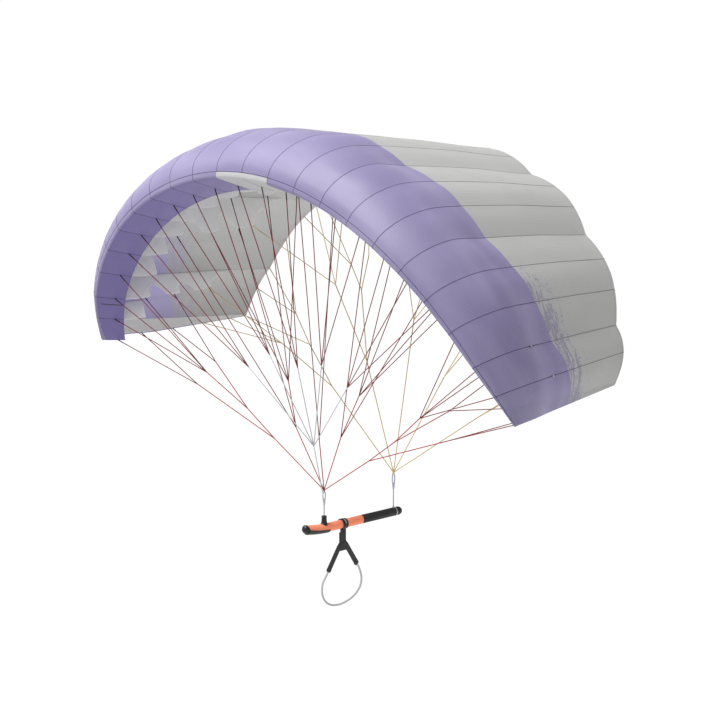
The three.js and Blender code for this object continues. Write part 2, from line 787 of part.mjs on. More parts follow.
function addPost() {
  const height = POST_TOP;
  const cone = new THREE.CylinderGeometry(POST_TOP_RADIUS, POST_BASE_RADIUS, height, BAR_SIDES);
  cone.rotateX(Math.PI / 2);
  cone.translate(0, POST_AT, height / 2);
  const seat = tubeGeometry(gripCurve(0), BAR_RADIUS + GAP, BAR_SIDES, GRIP_STEPS);
  const below = new THREE.BoxGeometry(80, 80, 40);
  below.translate(0, POST_AT, -12);
  const post = toSolid(cone).subtract(toSolid(seat)).subtract(toSolid(below));
  addPiece('line_post', toGeometry(post), BLACK_PLASTIC);
}

function addPigtail(name, y, bottom, splice, top) {
  const rope = new THREE.CylinderGeometry(PIGTAIL_RADIUS, PIGTAIL_RADIUS, splice - bottom, ROPE_SIDES);
  rope.rotateX(Math.PI / 2);
  rope.translate(0, y, (splice + bottom) / 2);
  const sleeve = new THREE.CylinderGeometry(SPLICE_RADIUS, SPLICE_RADIUS, 2 * SPLICE_HALF, ROPE_SIDES);
  sleeve.rotateX(Math.PI / 2);
  sleeve.translate(0, y, splice);
  const peak = top - PIGTAIL_RADIUS;
  const middle = (splice + peak) / 2;
  const loop = new THREE.CatmullRomCurve3([
    new THREE.Vector3(0, y - 1, splice),
    new THREE.Vector3(0, y - LOOP_HALF_WIDTH * 0.7, splice + SPLICE_HALF + 4),
    new THREE.Vector3(0, y - LOOP_HALF_WIDTH, middle + 6),
    new THREE.Vector3(0, y - LOOP_HALF_WIDTH * 0.75, peak - 4),
    new THREE.Vector3(0, y, peak),
    new THREE.Vector3(0, y + LOOP_HALF_WIDTH * 0.75, peak - 4),
    new THREE.Vector3(0, y + LOOP_HALF_WIDTH, middle + 6),
    new THREE.Vector3(0, y + LOOP_HALF_WIDTH * 0.7, splice + SPLICE_HALF + 4),
    new THREE.Vector3(0, y + 1, splice),
  ]);
  const eye = tubeGeometry(loop, PIGTAIL_RADIUS, ROPE_SIDES, 24);
  addPiece(name, joined([rope, sleeve, eye]), GREY_ROPE);
}

// A block of webbing round the strap's middle, between two heights.
function webbingBlock(thickness, width, bottom, top) {
  const block = new THREE.BoxGeometry(thickness, width, top - bottom);
  block.translate(0, STRAP_AT, (top + bottom) / 2);
  return block;
}

// Harness part: webbing strap with a sewn pocket, two flat sleeves that come out of the pocket's
// sides, and the rope loop between them.
function addHarness() {
  const strap = webbingBlock(STRAP_THICKNESS, STRAP_WIDTH, STRAP_BOTTOM, STRAP_TOP);
  const pocket = webbingBlock(POCKET_THICKNESS, POCKET_WIDTH, STRAP_BOTTOM, POCKET_TOP);
  addPiece('harness_strap', joined([strap, pocket]), WEBBING);
  const room = toSolid(webbingBlock(
    POCKET_THICKNESS + 2 * GAP,
    POCKET_WIDTH + 2 * GAP,
    STRAP_BOTTOM - GAP,
    POCKET_TOP + GAP,
  ));
  const route = ROPE_ROUTE.map((p) => new THREE.Vector3(0, p.y, p.z));
  const ends = [
    { name: 'front_sleeve', end: route[0], spread: -SLEEVE_TOP_SPREAD },
    { name: 'rear_sleeve', end: route[route.length - 1], spread: SLEEVE_TOP_SPREAD },
  ];
  for (const { name, end, spread } of ends) {
    const start = new THREE.Vector3(0, STRAP_AT + spread, SLEEVE_TOP);
    const stop = end.clone().addScaledVector(start.clone().sub(end).normalize(), GAP);
    const sleeve = tubeGeometry(new THREE.LineCurve3(start, stop), SLEEVE_HALF_WIDTH, SLEEVE_SIDES, 2);
    sleeve.scale(SLEEVE_HALF_THICKNESS / SLEEVE_HALF_WIDTH, 1, 1);
    addPiece(name, toGeometry(toSolid(sleeve).subtract(room)), WEBBING);
  }
  const rope = tubeGeometry(new THREE.CatmullRomCurve3(route), ROPE_RADIUS, ROPE_SIDES, ROPE_STEPS);
  addPiece('harness_rope', rope, GREY_ROPE);
}

addSkin();
addLip('lip_left', -TIP, -INSERT_STATION, PURPLE);
addLip('lip_centre', -INSERT_STATION, INSERT_STATION, WHITE);
addLip('lip_right', INSERT_STATION, TIP, PURPLE);
for (let station = 1 - TIP; station < TIP; station += 1) {
  addRib(station);
}
addPiece('front_lines', bridleGeometry(FRONT_LINKS, FRONT_TIES), RED_LINE);
addPiece('nose_lines', bridleGeometry(NOSE_LINKS, NOSE_TIES), GREY_LINE);
addPiece('rear_lines', bridleGeometry(REAR_LINKS, REAR_TIES), YELLOW_LINE);
addBar();
addNoseCap();
addCollar();
addPost();
addPigtail('front_pigtail', POST_AT, POST_TOP + GAP, FRONT_SPLICE, FRONT_LOOP_TOP);
addPigtail('rear_pigtail', REAR_PIGTAIL_AT, BAR_RADIUS + GAP, REAR_SPLICE, REAR_LOOP_TOP);
addHarness();

export default group;
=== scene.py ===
"""A hand-held single skin parawing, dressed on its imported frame.

The canopy is sewn from curved cloth, its ribs carry a bridle of thin lines, and the lines
meet on a short control bar that has a rope loop for a harness below it.
"""

from __future__ import annotations

import bisect
import logging
import math
from contextlib import contextmanager
from dataclasses import dataclass, field
from enum import Enum
from itertools import accumulate
from typing import Callable, Iterator, Optional, Sequence

import bmesh
import bpy
from bpy.types import Material, NodeSocket, Object
from mathutils import Matrix, Vector

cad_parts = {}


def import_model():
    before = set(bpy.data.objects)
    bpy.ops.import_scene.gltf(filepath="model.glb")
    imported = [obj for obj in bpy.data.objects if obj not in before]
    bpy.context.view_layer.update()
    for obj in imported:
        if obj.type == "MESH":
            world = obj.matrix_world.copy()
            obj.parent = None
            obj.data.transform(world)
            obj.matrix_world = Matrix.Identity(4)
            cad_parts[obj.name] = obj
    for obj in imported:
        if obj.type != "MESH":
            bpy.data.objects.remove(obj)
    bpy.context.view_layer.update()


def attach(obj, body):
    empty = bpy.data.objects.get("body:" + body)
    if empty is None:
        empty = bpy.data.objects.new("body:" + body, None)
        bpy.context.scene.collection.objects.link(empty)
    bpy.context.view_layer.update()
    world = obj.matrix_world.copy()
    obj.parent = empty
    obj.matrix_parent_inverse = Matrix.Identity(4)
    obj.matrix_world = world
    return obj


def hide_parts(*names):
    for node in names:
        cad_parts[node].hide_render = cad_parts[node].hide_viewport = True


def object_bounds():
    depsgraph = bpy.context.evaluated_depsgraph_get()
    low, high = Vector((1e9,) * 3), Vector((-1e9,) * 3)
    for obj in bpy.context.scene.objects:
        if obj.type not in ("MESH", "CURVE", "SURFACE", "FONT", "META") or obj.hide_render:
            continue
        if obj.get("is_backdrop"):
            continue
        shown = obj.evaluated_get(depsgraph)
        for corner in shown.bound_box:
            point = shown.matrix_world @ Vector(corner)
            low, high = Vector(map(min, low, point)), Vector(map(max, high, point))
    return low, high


LOG = logging.getLogger("parawing")
MM = 0.001
BODY = "root"
WHITE = (1.0, 1.0, 1.0, 1.0)

Colour = tuple[float, float, float, float]
Pair = tuple[float, float]
Spot = tuple[float, float, float]
Term = object


class Slot(Enum):
    """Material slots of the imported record."""

    PURPLE = "purple_cloth"
    GREY = "grey_cloth"
    WHITE = "white_cloth"
    RED_LINE = "red_line"
    GREY_LINE = "grey_line"
    YELLOW_LINE = "yellow_line"
    ORANGE_GRIP = "orange_grip"
    BLACK_GRIP = "black_grip"
    BLACK_PLASTIC = "black_plastic"
    STEEL = "steel"
    WEBBING = "webbing"
    GREY_ROPE = "grey_rope"


class Row(Enum):
    """Places where the bridle is sewn to the cloth."""

    NOSE = "nose"
    SECOND = "second"
    THIRD = "third"
    FOURTH = "fourth"
    FIFTH = "fifth"
    TIP = "tip"
    EDGE = "edge"


def tone(red: int, green: int, blue: int) -> Colour:
    """Turn a display colour into a linear one.

    Args:
        red: Red from 0 to 255.
        green: Green from 0 to 255.
        blue: Blue from 0 to 255.

    Returns:
        The linear colour with full alpha.
    """
    shares = [channel / 255 for channel in (red, green, blue)]
    r, g, b = (s / 12.92 if s <= 0.04045 else ((s + 0.055) / 1.055) ** 2.4 for s in shares)
    return (r, g, b, 1.0)


def ease(value: float, low: float, high: float) -> float:
    """Smooth step of a value between two limits."""
    share = min(max((value - low) / (high - low), 0.0), 1.0)
    return share * share * (3 - 2 * share)


def scatter(seed: float) -> float:
    """A fixed number from 0 to 1 that looks random for each seed."""
    return (math.sin(seed * 12.9898) * 43758.5453) % 1.0


class ShaderSheet:
    """Lays out the nodes of one material around a Principled shader."""

    def __init__(self, name: str) -> None:
        """Start a material with its shader."""
        self.material = bpy.data.materials.new(name)
        self.material.use_nodes = True
        self.tree = self.material.node_tree
        self.shader = self.tree.nodes["Principled BSDF"]

    def feed(self, socket: NodeSocket, term: Term) -> None:
        """Set a socket to a constant, or link another socket to it.

        Args:
            socket: The input.
            term: A constant or another node's output.
        """
        if isinstance(term, NodeSocket):
            self.tree.links.new(term, socket)
        else:
            socket.default_value = term

    def add(self, kind: str, output: str | int, terms: dict, **settings: str) -> NodeSocket:
        """Add a node and feed its inputs.

        Args:
            kind: The node's type name, without its prefix.
            output: Name or number of the wanted output.
            terms: What goes into its inputs, by their names or numbers.
            **settings: Properties of the node.

        Returns:
            The wanted output.
        """
        node = self.tree.nodes.new(f"ShaderNode{kind}")
        for key, setting in settings.items():
            setattr(node, key, setting)
        for key, term in terms.items():
            self.feed(node.inputs[key], term)
        return node.outputs[output]

    def value(self, operation: str, *terms: Term) -> NodeSocket:
        """Apply one arithmetic operation to sockets or numbers."""
        return self.add("Math", 0, dict(enumerate(terms)), operation=operation)

    def remap(self, term: Term, low: float, high: float) -> NodeSocket:
        """Smoothly map a range of a socket to 0 to 1."""
        terms = {"Value": term, "From Min": low, "From Max": high}
        return self.add("MapRange", "Result", terms, interpolation_type="SMOOTHSTEP")

    def mix(self, share: Term, first: Term, second: Term) -> NodeSocket:
        """Mix two colours by a share."""
        return self.add("Mix", 2, {0: share, 6: first, 7: second}, data_type="RGBA")

    def noise(self, where: Term, scale: float, detail: float, twist: float = 0.0) -> NodeSocket:
        """Noise over a coordinate, with features for each unit, octaves and a twist."""
        terms = {"Vector": where, "Scale": scale, "Detail": detail, "Distortion": twist}
        return self.add("TexNoise", "Fac", terms)

    def place(self) -> NodeSocket:
        """Object coordinates of the piece."""
        return self.add("TexCoord", "Object", {})

    def cut(self) -> NodeSocket:
        """The piece's own cut map."""
        return self.add("UVMap", "UV", {}, uv_map="cut")

    def carried(self, name: str) -> NodeSocket:
        """A number that each point of the piece carries."""
        return self.add("Attribute", "Fac", {}, attribute_name=name)

    def cut_place(self) -> tuple[NodeSocket, NodeSocket]:
        """Coordinates across and along the piece, from its cut map."""
        across = self.add("SeparateXYZ", "X", {0: self.cut()})
        return across, across.node.outputs["Y"]

    def stretched(self, where: Term, scale: Spot) -> NodeSocket:
        """Scale a coordinate along its axes."""
        return self.add("Mapping", "Vector", {"Vector": where, "Scale": scale})

    def stripe(self, term: Term, pitch: float, width: float) -> NodeSocket:
        """Thin lines at a pitch: 1 on a line and 0 between them.

        Args:
            term: The coordinate's socket.
            pitch: Distance between lines.
            width: Half of a line, as a share of the pitch.

        Returns:
            The mask's socket.
        """
        cycle = self.value("FRACT", self.value("MULTIPLY", term, 1 / pitch))
        apart = self.value("ABSOLUTE", self.value("SUBTRACT", cycle, 0.5))
        return self.remap(apart, 0.5 - width, 0.5)

    def wave(self, term: Term, pitch: float) -> NodeSocket:
        """A sine of a socket at a pitch, from -1 to 1."""
        return self.value("SINE", self.value("MULTIPLY", term, 2 * math.pi / pitch))

    def blend(self, mask: Term, amount: float, first: Term, second: Term) -> NodeSocket:
        """Mix some of a second colour into a first where a mask says."""
        return self.mix(self.value("MULTIPLY", mask, amount), first, second)

    def dress(self, colour: Term, roughness: float, wear: Term, spread: float) -> None:
        """Feed the shader's base colour, and a roughness that varies with wear.

        Args:
            colour: The colour's socket.
            roughness: Middle of the roughness.
            wear: A socket from 0 to 1.
            spread: How far the roughness goes from its lowest to its highest.
        """
        self.feed(self.shader.inputs["Base Color"], colour)
        worn = self.value("MULTIPLY_ADD", wear, spread, roughness - spread / 2)
        self.feed(self.shader.inputs["Roughness"], worn)

    def relief(self, height: Term, strength: float, depth: float) -> None:
        """Feed the shader's normal from a height, with a depth in mm."""
        terms = {"Strength": strength, "Distance": depth * MM, "Height": height}
        self.feed(self.shader.inputs["Normal"], self.add("Bump", "Normal", terms))

    def fix(self, **levels: float) -> None:
        """Set constant shader sockets, with _ for a space in their names."""
        for key, level in levels.items():
            self.shader.inputs[key.replace("_", " ")].default_value = level


@dataclass(frozen=True)
class ClothFinish:
    """Coated ripstop cloth with a raised grid.

    A second colour can be brushed on. The inside faces take a paler colour as painted light coming through
    the cloth, and pale streaks are a painted satin sheen.
    """

    name: str
    colour: Colour
    thread: Colour
    fade: Optional[Colour] = None
    backlit_inside: Optional[Colour] = None
    roughness: float = 0.42
    pitch: float = 7.0
    yarn: float = 1.25
    grid_width: float = 0.18
    grid_share: float = 0.5
    sheen: float = 0.08
    glow: float = 0.8
    glow_depth: float = 5.0
    gloss: float = 0.95
    coat: float = 0.0
    sheen_streak: float = 0.0
    fade_share: float = 0.58

    def material(self) -> Material:
        """Make the material.

        Returns:
            The finished material.
        """
        sheet = ShaderSheet(self.name)
        ways = sheet.cut_place()
        grid = sheet.value("MAXIMUM", *(sheet.stripe(w, self.pitch * MM, self.grid_width) for w in ways))
        weave = sheet.value("MULTIPLY", *(sheet.wave(w, self.yarn * MM) for w in ways))
        place = sheet.place()
        soft = sheet.noise(place, 3.0, 3.0)
        base: Term = self.colour
        # Painted light: the inside faces take a paler colour that stands in for light coming through the
        # cloth.
        if self.backlit_inside:
            base = sheet.mix(sheet.carried("inner"), self.fade or self.colour, self.backlit_inside)
        if self.fade:
            base = sheet.blend(self.fade_mask(sheet, place), self.fade_share, self.colour, base)
        # Painted sheen: pale clouds stretched along the span stand in for satin highlights.
        if self.sheen_streak:
            sheen_clouds = sheet.noise(sheet.stretched(sheet.cut(), (2.6, 7.0, 1.0)), 1.0, 1.5, 0.5)
            base = sheet.blend(sheet.remap(sheen_clouds, 0.36, 0.72), self.sheen_streak, base, self.thread)
        tinted = sheet.blend(grid, self.grid_share, base, self.thread)
        patched = sheet.blend(sheet.remap(soft, 0.35, 0.65), 0.1, tinted, self.thread)
        sheet.dress(patched, self.roughness, soft, 0.14)
        sheet.relief(sheet.value("MULTIPLY_ADD", weave, 0.25, grid), 0.35, 0.35)
        sheet.fix(Sheen_Weight=self.sheen, Sheen_Roughness=0.4, Specular_IOR_Level=self.gloss)
        sheet.fix(Subsurface_Weight=self.glow, Subsurface_Scale=self.glow_depth * MM)
        sheet.fix(Coat_Weight=self.coat, Coat_Roughness=0.75, Coat_IOR=2.0)
        sheet.shader.inputs["Subsurface Radius"].default_value = (1.0, 1.0, 1.0)
        return sheet.material

    @staticmethod
    def fade_mask(sheet: ShaderSheet, place: Term) -> NodeSocket:
        """Where the second colour shows: dry strokes that thin out.

        Args:
            sheet: The material's sheet.
            place: Object coordinates.

        Returns:
            The mask's socket.
        """
        brushed = sheet.noise(sheet.stretched(sheet.cut(), (14.0, 52.0, 1.0)), 1.0, 6.0, 1.2)
        strokes = sheet.value("MULTIPLY", sheet.remap(brushed, 0.34, 0.66), 0.5)
        specks = sheet.remap(sheet.noise(place, 130.0, 2.0), 0.35, 0.65)
        broken = sheet.value("MULTIPLY_ADD", specks, 0.35, strokes)
        covered = sheet.value("MULTIPLY_ADD", sheet.carried("fade"), 0.75, broken)
        return sheet.remap(covered, 0.8, 1.08)


@dataclass(frozen=True)
class BraidFinish:
    """Braided line or rope: crossing strands that follow the length."""

    name: str
    colour: Colour
    shade: Colour
    strands: int = 6
    lay: float = 5.0
    roughness: float = 0.7

    def material(self) -> Material:
        """Make the material.

        Returns:
            The finished material.
        """
        sheet = ShaderSheet(self.name)
        around, along = sheet.cut_place()
        turn = sheet.value("MULTIPLY", around, float(self.strands))
        run = sheet.value("MULTIPLY", along, 1 / (self.lay * MM))
        crossing = [sheet.wave(sheet.value(way, turn, run), 1.0) for way in ("ADD", "SUBTRACT")]
        strands = sheet.remap(sheet.value("MULTIPLY", *crossing), -0.6, 0.8)
        worn = sheet.noise(sheet.place(), 60.0, 3.0)
        sheet.dress(sheet.mix(strands, self.shade, self.colour), self.roughness, worn, 0.2)
        sheet.relief(strands, 0.35, 0.25)
        sheet.fix(Specular_IOR_Level=0.3)
        return sheet.material


@dataclass(frozen=True)
class FoamFinish:
    """Closed cell foam grip: a fine pebbled skin, a little paler where hands rub it."""

    name: str
    colour: Colour
    worn: Colour
    roughness: float = 0.62
    grain: float = 900.0

    def material(self) -> Material:
        """Make the material.

        Returns:
            The finished material.
        """
        sheet = ShaderSheet(self.name)
        place = sheet.place()
        patch = sheet.noise(place, 22.0, 4.0)
        rubbed = sheet.blend(sheet.remap(patch, 0.45, 0.75), 0.3, self.colour, self.worn)
        sheet.dress(rubbed, self.roughness, patch, 0.2)
        sheet.relief(sheet.noise(place, self.grain, 2.0), 0.25, 0.12)
        sheet.fix(Specular_IOR_Level=0.4)
        return sheet.material


@dataclass(frozen=True)
class PlasticFinish:
    """Moulded plastic with a fine spark-eroded grain and faint handling marks."""

    name: str
    colour: Colour
    rubbed: Colour
    roughness: float = 0.425
    grain: float = 1400.0

    def material(self) -> Material:
        """Make the material.

        Returns:
            The finished material.
        """
        sheet = ShaderSheet(self.name)
        place = sheet.place()
        marks = sheet.noise(sheet.stretched(place, (1.0, 0.3, 1.0)), 140.0, 5.0)
        handled = sheet.blend(sheet.remap(marks, 0.5, 0.8), 0.35, self.colour, self.rubbed)
        sheet.dress(handled, self.roughness, marks, 0.25)
        sheet.relief(sheet.noise(place, self.grain, 2.0), 0.2, 0.12)
        return sheet.material


@dataclass(frozen=True)
class SteelFinish:
    """Brushed steel with lines round the bar."""

    name: str
    colour: Colour
    dull: Colour
    roughness: float = 0.28

    def material(self) -> Material:
        """Make the material.

        Returns:
            The finished material.
        """
        sheet = ShaderSheet(self.name)
        lines = sheet.noise(sheet.stretched(sheet.place(), (0.05, 1.0, 0.05)), 2600.0, 3.0)
        sheet.dress(sheet.mix(lines, self.dull, self.colour), self.roughness, lines, 0.16)
        sheet.relief(lines, 0.15, 0.08)
        sheet.fix(Metallic=1.0)
        return sheet.material


@dataclass(frozen=True)
class WebbingFinish:
    """Flat woven webbing: chevrons across its width and a dusty bloom."""

    name: str
    colour: Colour
    light: Colour
    pitch: float = 2.4
    chevron: float = 4.0
    cord: float = 1.6
    roughness: float = 0.78

    def material(self) -> Material:
        """Make the material.

        Returns:
            The finished material.
        """
        sheet = ShaderSheet(self.name)
        across, along = sheet.cut_place()
        fold = sheet.value("PINGPONG", across, self.chevron * MM)
        twill = sheet.wave(sheet.value("ADD", along, fold), self.pitch * MM)
        rib = sheet.wave(across, self.cord * MM)
        weave = sheet.remap(sheet.value("MULTIPLY_ADD", rib, 0.4, twill), -1.0, 1.2)
        bloom = sheet.noise(sheet.place(), 45.0, 4.0)
        sheet.dress(sheet.blend(weave, 0.6, self.colour, self.light), self.roughness, bloom, 0.16)
        sheet.relief(weave, 0.55, 0.5)
        sheet.fix(Specular_IOR_Level=0.3, Sheen_Weight=0.1)
        return sheet.material


class Wardrobe:
    """Every finish of the wing, made once."""

    def __init__(self) -> None:
        """Make the materials."""
        # The paler inside colour is painted light coming through the cloth.
        purple, backlit_inside = tone(87, 74, 128), tone(146, 138, 178)
        # The purple's pale streaks are a painted sheen.
        self.purple = ClothFinish(
            "purple_ripstop", purple, tone(124, 116, 155), None, backlit_inside,
            roughness=0.66, glow=0.9, gloss=0.85, coat=0.85, sheen_streak=0.6,
        ).material()  # fmt: skip
        self.grey = ClothFinish(
            "grey_ripstop", tone(161, 161, 160), tone(132, 132, 132), purple, backlit_inside,
            roughness=0.55, glow=0.85, gloss=0.75,
        ).material()  # fmt: skip
        # The lips are the same purple cloth, painted darker and given less glow as painted shade under the
        # nose.
        self.lip = self.cloth("lip_ripstop_painted_shade", (101, 90, 144), (113, 103, 156), glow=0.1, gloss=0.4)
        self.white = self.cloth("pale_ripstop", (172, 172, 174), (146, 146, 150), glow=0.2)
        self.rib = self.cloth("rib_cloth", (238, 238, 238), (220, 220, 222), pitch=4.0)
        self.purple_seam = self.braid("purple_seam", (84, 76, 112), (66, 59, 92), lay=3.0)
        self.grey_seam = self.braid("grey_seam", (126, 126, 126), (102, 102, 102), lay=3.0)
        self.red = self.braid("red_braid", (188, 78, 70), (152, 57, 50))
        self.dark_red = self.braid("dark_red_braid", (148, 60, 58), (110, 46, 45))
        self.red_sleeve = self.braid("line_sleeve", (52, 24, 28), (34, 16, 20))
        self.silver = self.braid("silver_braid", (206, 207, 212), (168, 169, 175))
        self.yellow = self.braid("yellow_braid", (228, 206, 150), (200, 177, 121))
        self.rope = self.braid("grey_rope", (190, 191, 192), (176, 177, 179), strands=8, lay=7.0)
        self.pigtail = self.braid("pigtail_rope", (196, 197, 210), (160, 161, 176), strands=8, lay=6.0)
        self.stitch = self.braid("dark_thread", (92, 92, 94), (50, 50, 52), lay=1.0)
        self.orange = FoamFinish("orange_foam", tone(255, 144, 106), tone(255, 166, 134)).material()
        self.black_foam = FoamFinish("black_foam", tone(30, 30, 32), tone(54, 54, 56)).material()
        self.plastic = PlasticFinish("black_plastic", tone(8, 8, 9), tone(42, 42, 44)).material()
        self.steel = SteelFinish("brushed_steel", tone(206, 208, 212), tone(140, 142, 146)).material()
        self.webbing = WebbingFinish("black_webbing", tone(40, 40, 42), tone(86, 86, 88)).material()

    @staticmethod
    def cloth(name: str, colour: Sequence[int], thread: Sequence[int], **levels: float) -> Material:
        """A plain cloth from two display colours."""
        return ClothFinish(name, tone(*colour), tone(*thread), **levels).material()

    @staticmethod
    def braid(name: str, colour: Sequence[int], shade: Sequence[int], **levels: float) -> Material:
        """A braid from two display colours."""
        return BraidFinish(name, tone(*colour), tone(*shade), **levels).material()


def settle(piece: Object, finish: Material, slot: Slot, *nodes: str) -> None:
    """Give a piece its finish and body, and let it stand for CAD nodes.

    Args:
        piece: The finished object.
        finish: Its material, unless it has some of its own.
        slot: The record's slot. Not used.
        *nodes: Names of the CAD nodes that it replaces.
    """
    if not piece.data.materials:
        piece.data.materials.append(finish)
    if nodes:
        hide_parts(*nodes)
    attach(piece, BODY)
    LOG.info("%s: %d faces", piece.name, len(piece.data.polygons))


def runs_along(path: Sequence[Vector]) -> list[float]:
    """Length from the start of a path to each of its points."""
    return list(accumulate(((b - a).length for a, b in zip(path, path[1:])), initial=0.0))


def headings(path: Sequence[Vector]) -> list[Vector]:
    """Direction of a path at each of its points, from the points beside it."""
    last = len(path) - 1
    return [(path[min(i + 1, last)] - path[max(i - 1, 0)]).normalized() for i in range(last + 1)]


def smooth_path(knots: Sequence[Vector], steps: int) -> list[Vector]:
    """Follow knots with an even Catmull-Rom curve.

    Args:
        knots: Points to pass through.
        steps: Number of spans in the result.

    Returns:
        Points evenly spaced along the curve.
    """
    ends = [knots[0] * 2 - knots[1], *knots, knots[-1] * 2 - knots[-2]]
    dense: list[Vector] = []
    for i in range(1, len(ends) - 2):
        a, b, c, d = ends[i - 1 : i + 3]
        for t in (k / 16 for k in range(16)):
            square, cube = 2 * a - 5 * b + 4 * c - d, 3 * b - a - 3 * c + d
            dense.append(0.5 * (2 * b + (c - a) * t + square * t**2 + cube * t**3))
    dense.append(knots[-1].copy())
    lengths = runs_along(dense)
    path = []
    for k in range(steps + 1):
        target = lengths[-1] * k / steps
        j = min(max(bisect.bisect_right(lengths, target) - 1, 0), len(dense) - 2)
        share = (target - lengths[j]) / max(lengths[j + 1] - lengths[j], 1e-12)
        path.append(dense[j].lerp(dense[j + 1], min(share, 1.0)))
    return path


def make_piece(name: str, points: Sequence[Vector], faces: Sequence, cuts: Sequence[Pair]) -> Object:
    """Make a smooth shaded mesh object at the origin, with a cut map.

    Args:
        name: Name of the piece.
        points: Its points in metres.
        faces: Numbers of the points round each face.
        cuts: Place on the cut map of each corner of each face, in turn.

    Returns:
        The object.
    """
    mesh = bpy.data.meshes.new(name)
    mesh.from_pydata([tuple(p) for p in points], [], faces)
    mesh.uv_layers.new(name="cut").data.foreach_set("uv", [c for cut in cuts for c in cut])
    mesh.polygons.foreach_set("use_smooth", [True] * len(faces))
    mesh.update()
    piece = bpy.data.objects.new(name, mesh)
    bpy.context.scene.collection.objects.link(piece)
    return piece


class MeshSketch:
    """Collects tubes, ridges and turned beads into one mesh with a cut map."""

    RIDGE = ((-1.0, -0.25), (1.0, -0.25), (0.75, 0.7), (0.0, 1.0), (-0.75, 0.7))

    def __init__(self) -> None:
        """Start empty."""
        self.points: list[Vector] = []
        self.faces: list[tuple[int, ...]] = []
        self.cuts: list[Pair] = []
        self.finishes: list[int] = []
        self.finish = 0

    def face(self, corners: Sequence[int], cuts: Sequence[Pair]) -> None:
        """Add one face with its cut coordinates."""
        self.faces.append(tuple(corners))
        self.cuts.extend(cuts)
        self.finishes.append(self.finish)

    def loft(self, rings: Sequence[Sequence[Vector]], runs: Sequence[float]) -> None:
        """Skin closed rings of equal size and cap both ends.

        Args:
            rings: Rings of points, turning the same way.
            runs: Length along the piece at each ring.
        """
        start, sides = len(self.points), len(rings[0])
        self.points += [point for ring in rings for point in ring]
        for i, (low, high) in enumerate(zip(runs, runs[1:])):
            a, b = start + i * sides, start + (i + 1) * sides
            for k in range(sides):
                after, left, right = (k + 1) % sides, k / sides, (k + 1) / sides
                cuts = [(left, low), (right, low), (right, high), (left, high)]
                self.face((a + k, a + after, b + after, b + k), cuts)
        last = len(self.points) - sides
        flat = [(k / sides, runs[0]) for k in range(sides)]
        self.face([start + k for k in reversed(range(sides))], flat)
        self.face([last + k for k in range(sides)], flat)

    def tube(self, path: Sequence[Vector], radius: float | Sequence[float], sides: int = 8) -> None:
        """Sweep a circle along a path without twist.

        Args:
            path: Points in metres.
            radius: One radius in mm, or one for each point.
            sides: Sides of the circle.
        """
        radii = [radius] * len(path) if isinstance(radius, (int, float)) else radius
        turns = [2 * math.pi * k / sides for k in range(sides)]
        rings, ways = [], headings(path)
        side = ways[0].orthogonal().normalized()
        for point, way, size in zip(path, ways, radii):
            side = (side - way * side.dot(way)).normalized()
            other = way.cross(side)
            ring = [(side * math.cos(t) + other * math.sin(t)) * (size * MM) for t in turns]
            rings.append([point + out for out in ring])
        self.loft(rings, runs_along(path))

    def ridge(self, path: Sequence[Vector], ups: Sequence[Vector], half: float, height: float) -> None:
        """Lay a low rounded ridge along a path on a surface.

        Args:
            path: Points on the surface.
            ups: Surface normals at the points.
            half: Half of the ridge's width, in mm.
            height: Height over the surface, in mm.
        """
        section = [(x * (half * MM), y * (height * MM)) for x, y in self.RIDGE]
        rings = []
        for point, way, up in zip(path, headings(path), ups):
            right = way.cross(up).normalized()
            rings.append([point + right * x + up * y for x, y in section])
        self.loft(rings, runs_along(path))

    def bead(self, centre: Vector, axis: Vector, profile: Sequence[Pair], sides: int = 10) -> None:
        """Turn a profile of distances and radii, in mm, round an axis, such as a wrapped knot."""
        along = axis.normalized()
        self.tube([centre + along * (at * MM) for at, _ in profile], [r for _, r in profile], sides)

    def build(self, name: str) -> Object:
        """Make the object."""
        piece = make_piece(name, self.points, self.faces, self.cuts)
        piece.data.polygons.foreach_set("material_index", self.finishes)
        return piece


@dataclass
class SheetGrid:
    """A sheet of cloth as columns of points, with its cut map."""

    name: str
    reverse: bool = False
    points: list[list[Vector]] = field(default_factory=list)
    cuts: list[Pair] = field(default_factory=list)
    fades: list[float] = field(default_factory=list)

    def column(self, points: list[Vector], cuts: Sequence[Pair], fades: Sequence[float] = ()) -> None:
        """Add a column of points with their cut places, and how much of the print they carry."""
        self.points.append(points)
        self.cuts.extend(cuts)
        self.fades.extend(fades)

    def sew(self, cloth: float, finish: Material, slot: Slot, lines: str, *nodes: str) -> None:
        """Make the cloth and settle it.

        Args:
            cloth: Its thickness in mm, which goes on the inner side.
            finish: Its material.
            slot: The record's slot.
            lines: The lines that hold it. Not used.
            *nodes: Names of the CAD nodes that it replaces.
        """
        rows = len(self.points[0])
        flat = [point for column in self.points for point in column]
        starts = [i * rows + j for i in range(len(self.points) - 1) for j in range(rows - 1)]
        faces = [(a, a + rows, a + rows + 1, a + 1)[:: -1 if self.reverse else 1] for a in starts]
        piece = make_piece(self.name, flat, faces, [self.cuts[c] for face in faces for c in face])
        if self.fades:
            self.carry(piece, "fade", self.fades)
        area = sum(polygon.area for polygon in piece.data.polygons)
        Bench.thicken(piece, cloth)
        apart = [(v.co - flat[v.index % len(flat)]).length for v in piece.data.vertices]
        self.carry(piece, "inner", [float(gap > cloth * MM / 2) for gap in apart])
        settle(piece, finish, slot, *nodes)
        wide = max(runs_along(row)[-1] for row in zip(*self.points))
        long = max(runs_along(column)[-1] for column in self.points)
        area = min(area, wide * long)

    @staticmethod
    def carry(piece: Object, name: str, shares: Sequence[float]) -> None:
        """Let each point of a piece carry a number."""
        piece.data.attributes.new(name, "FLOAT", "POINT").data.foreach_set("value", shares)


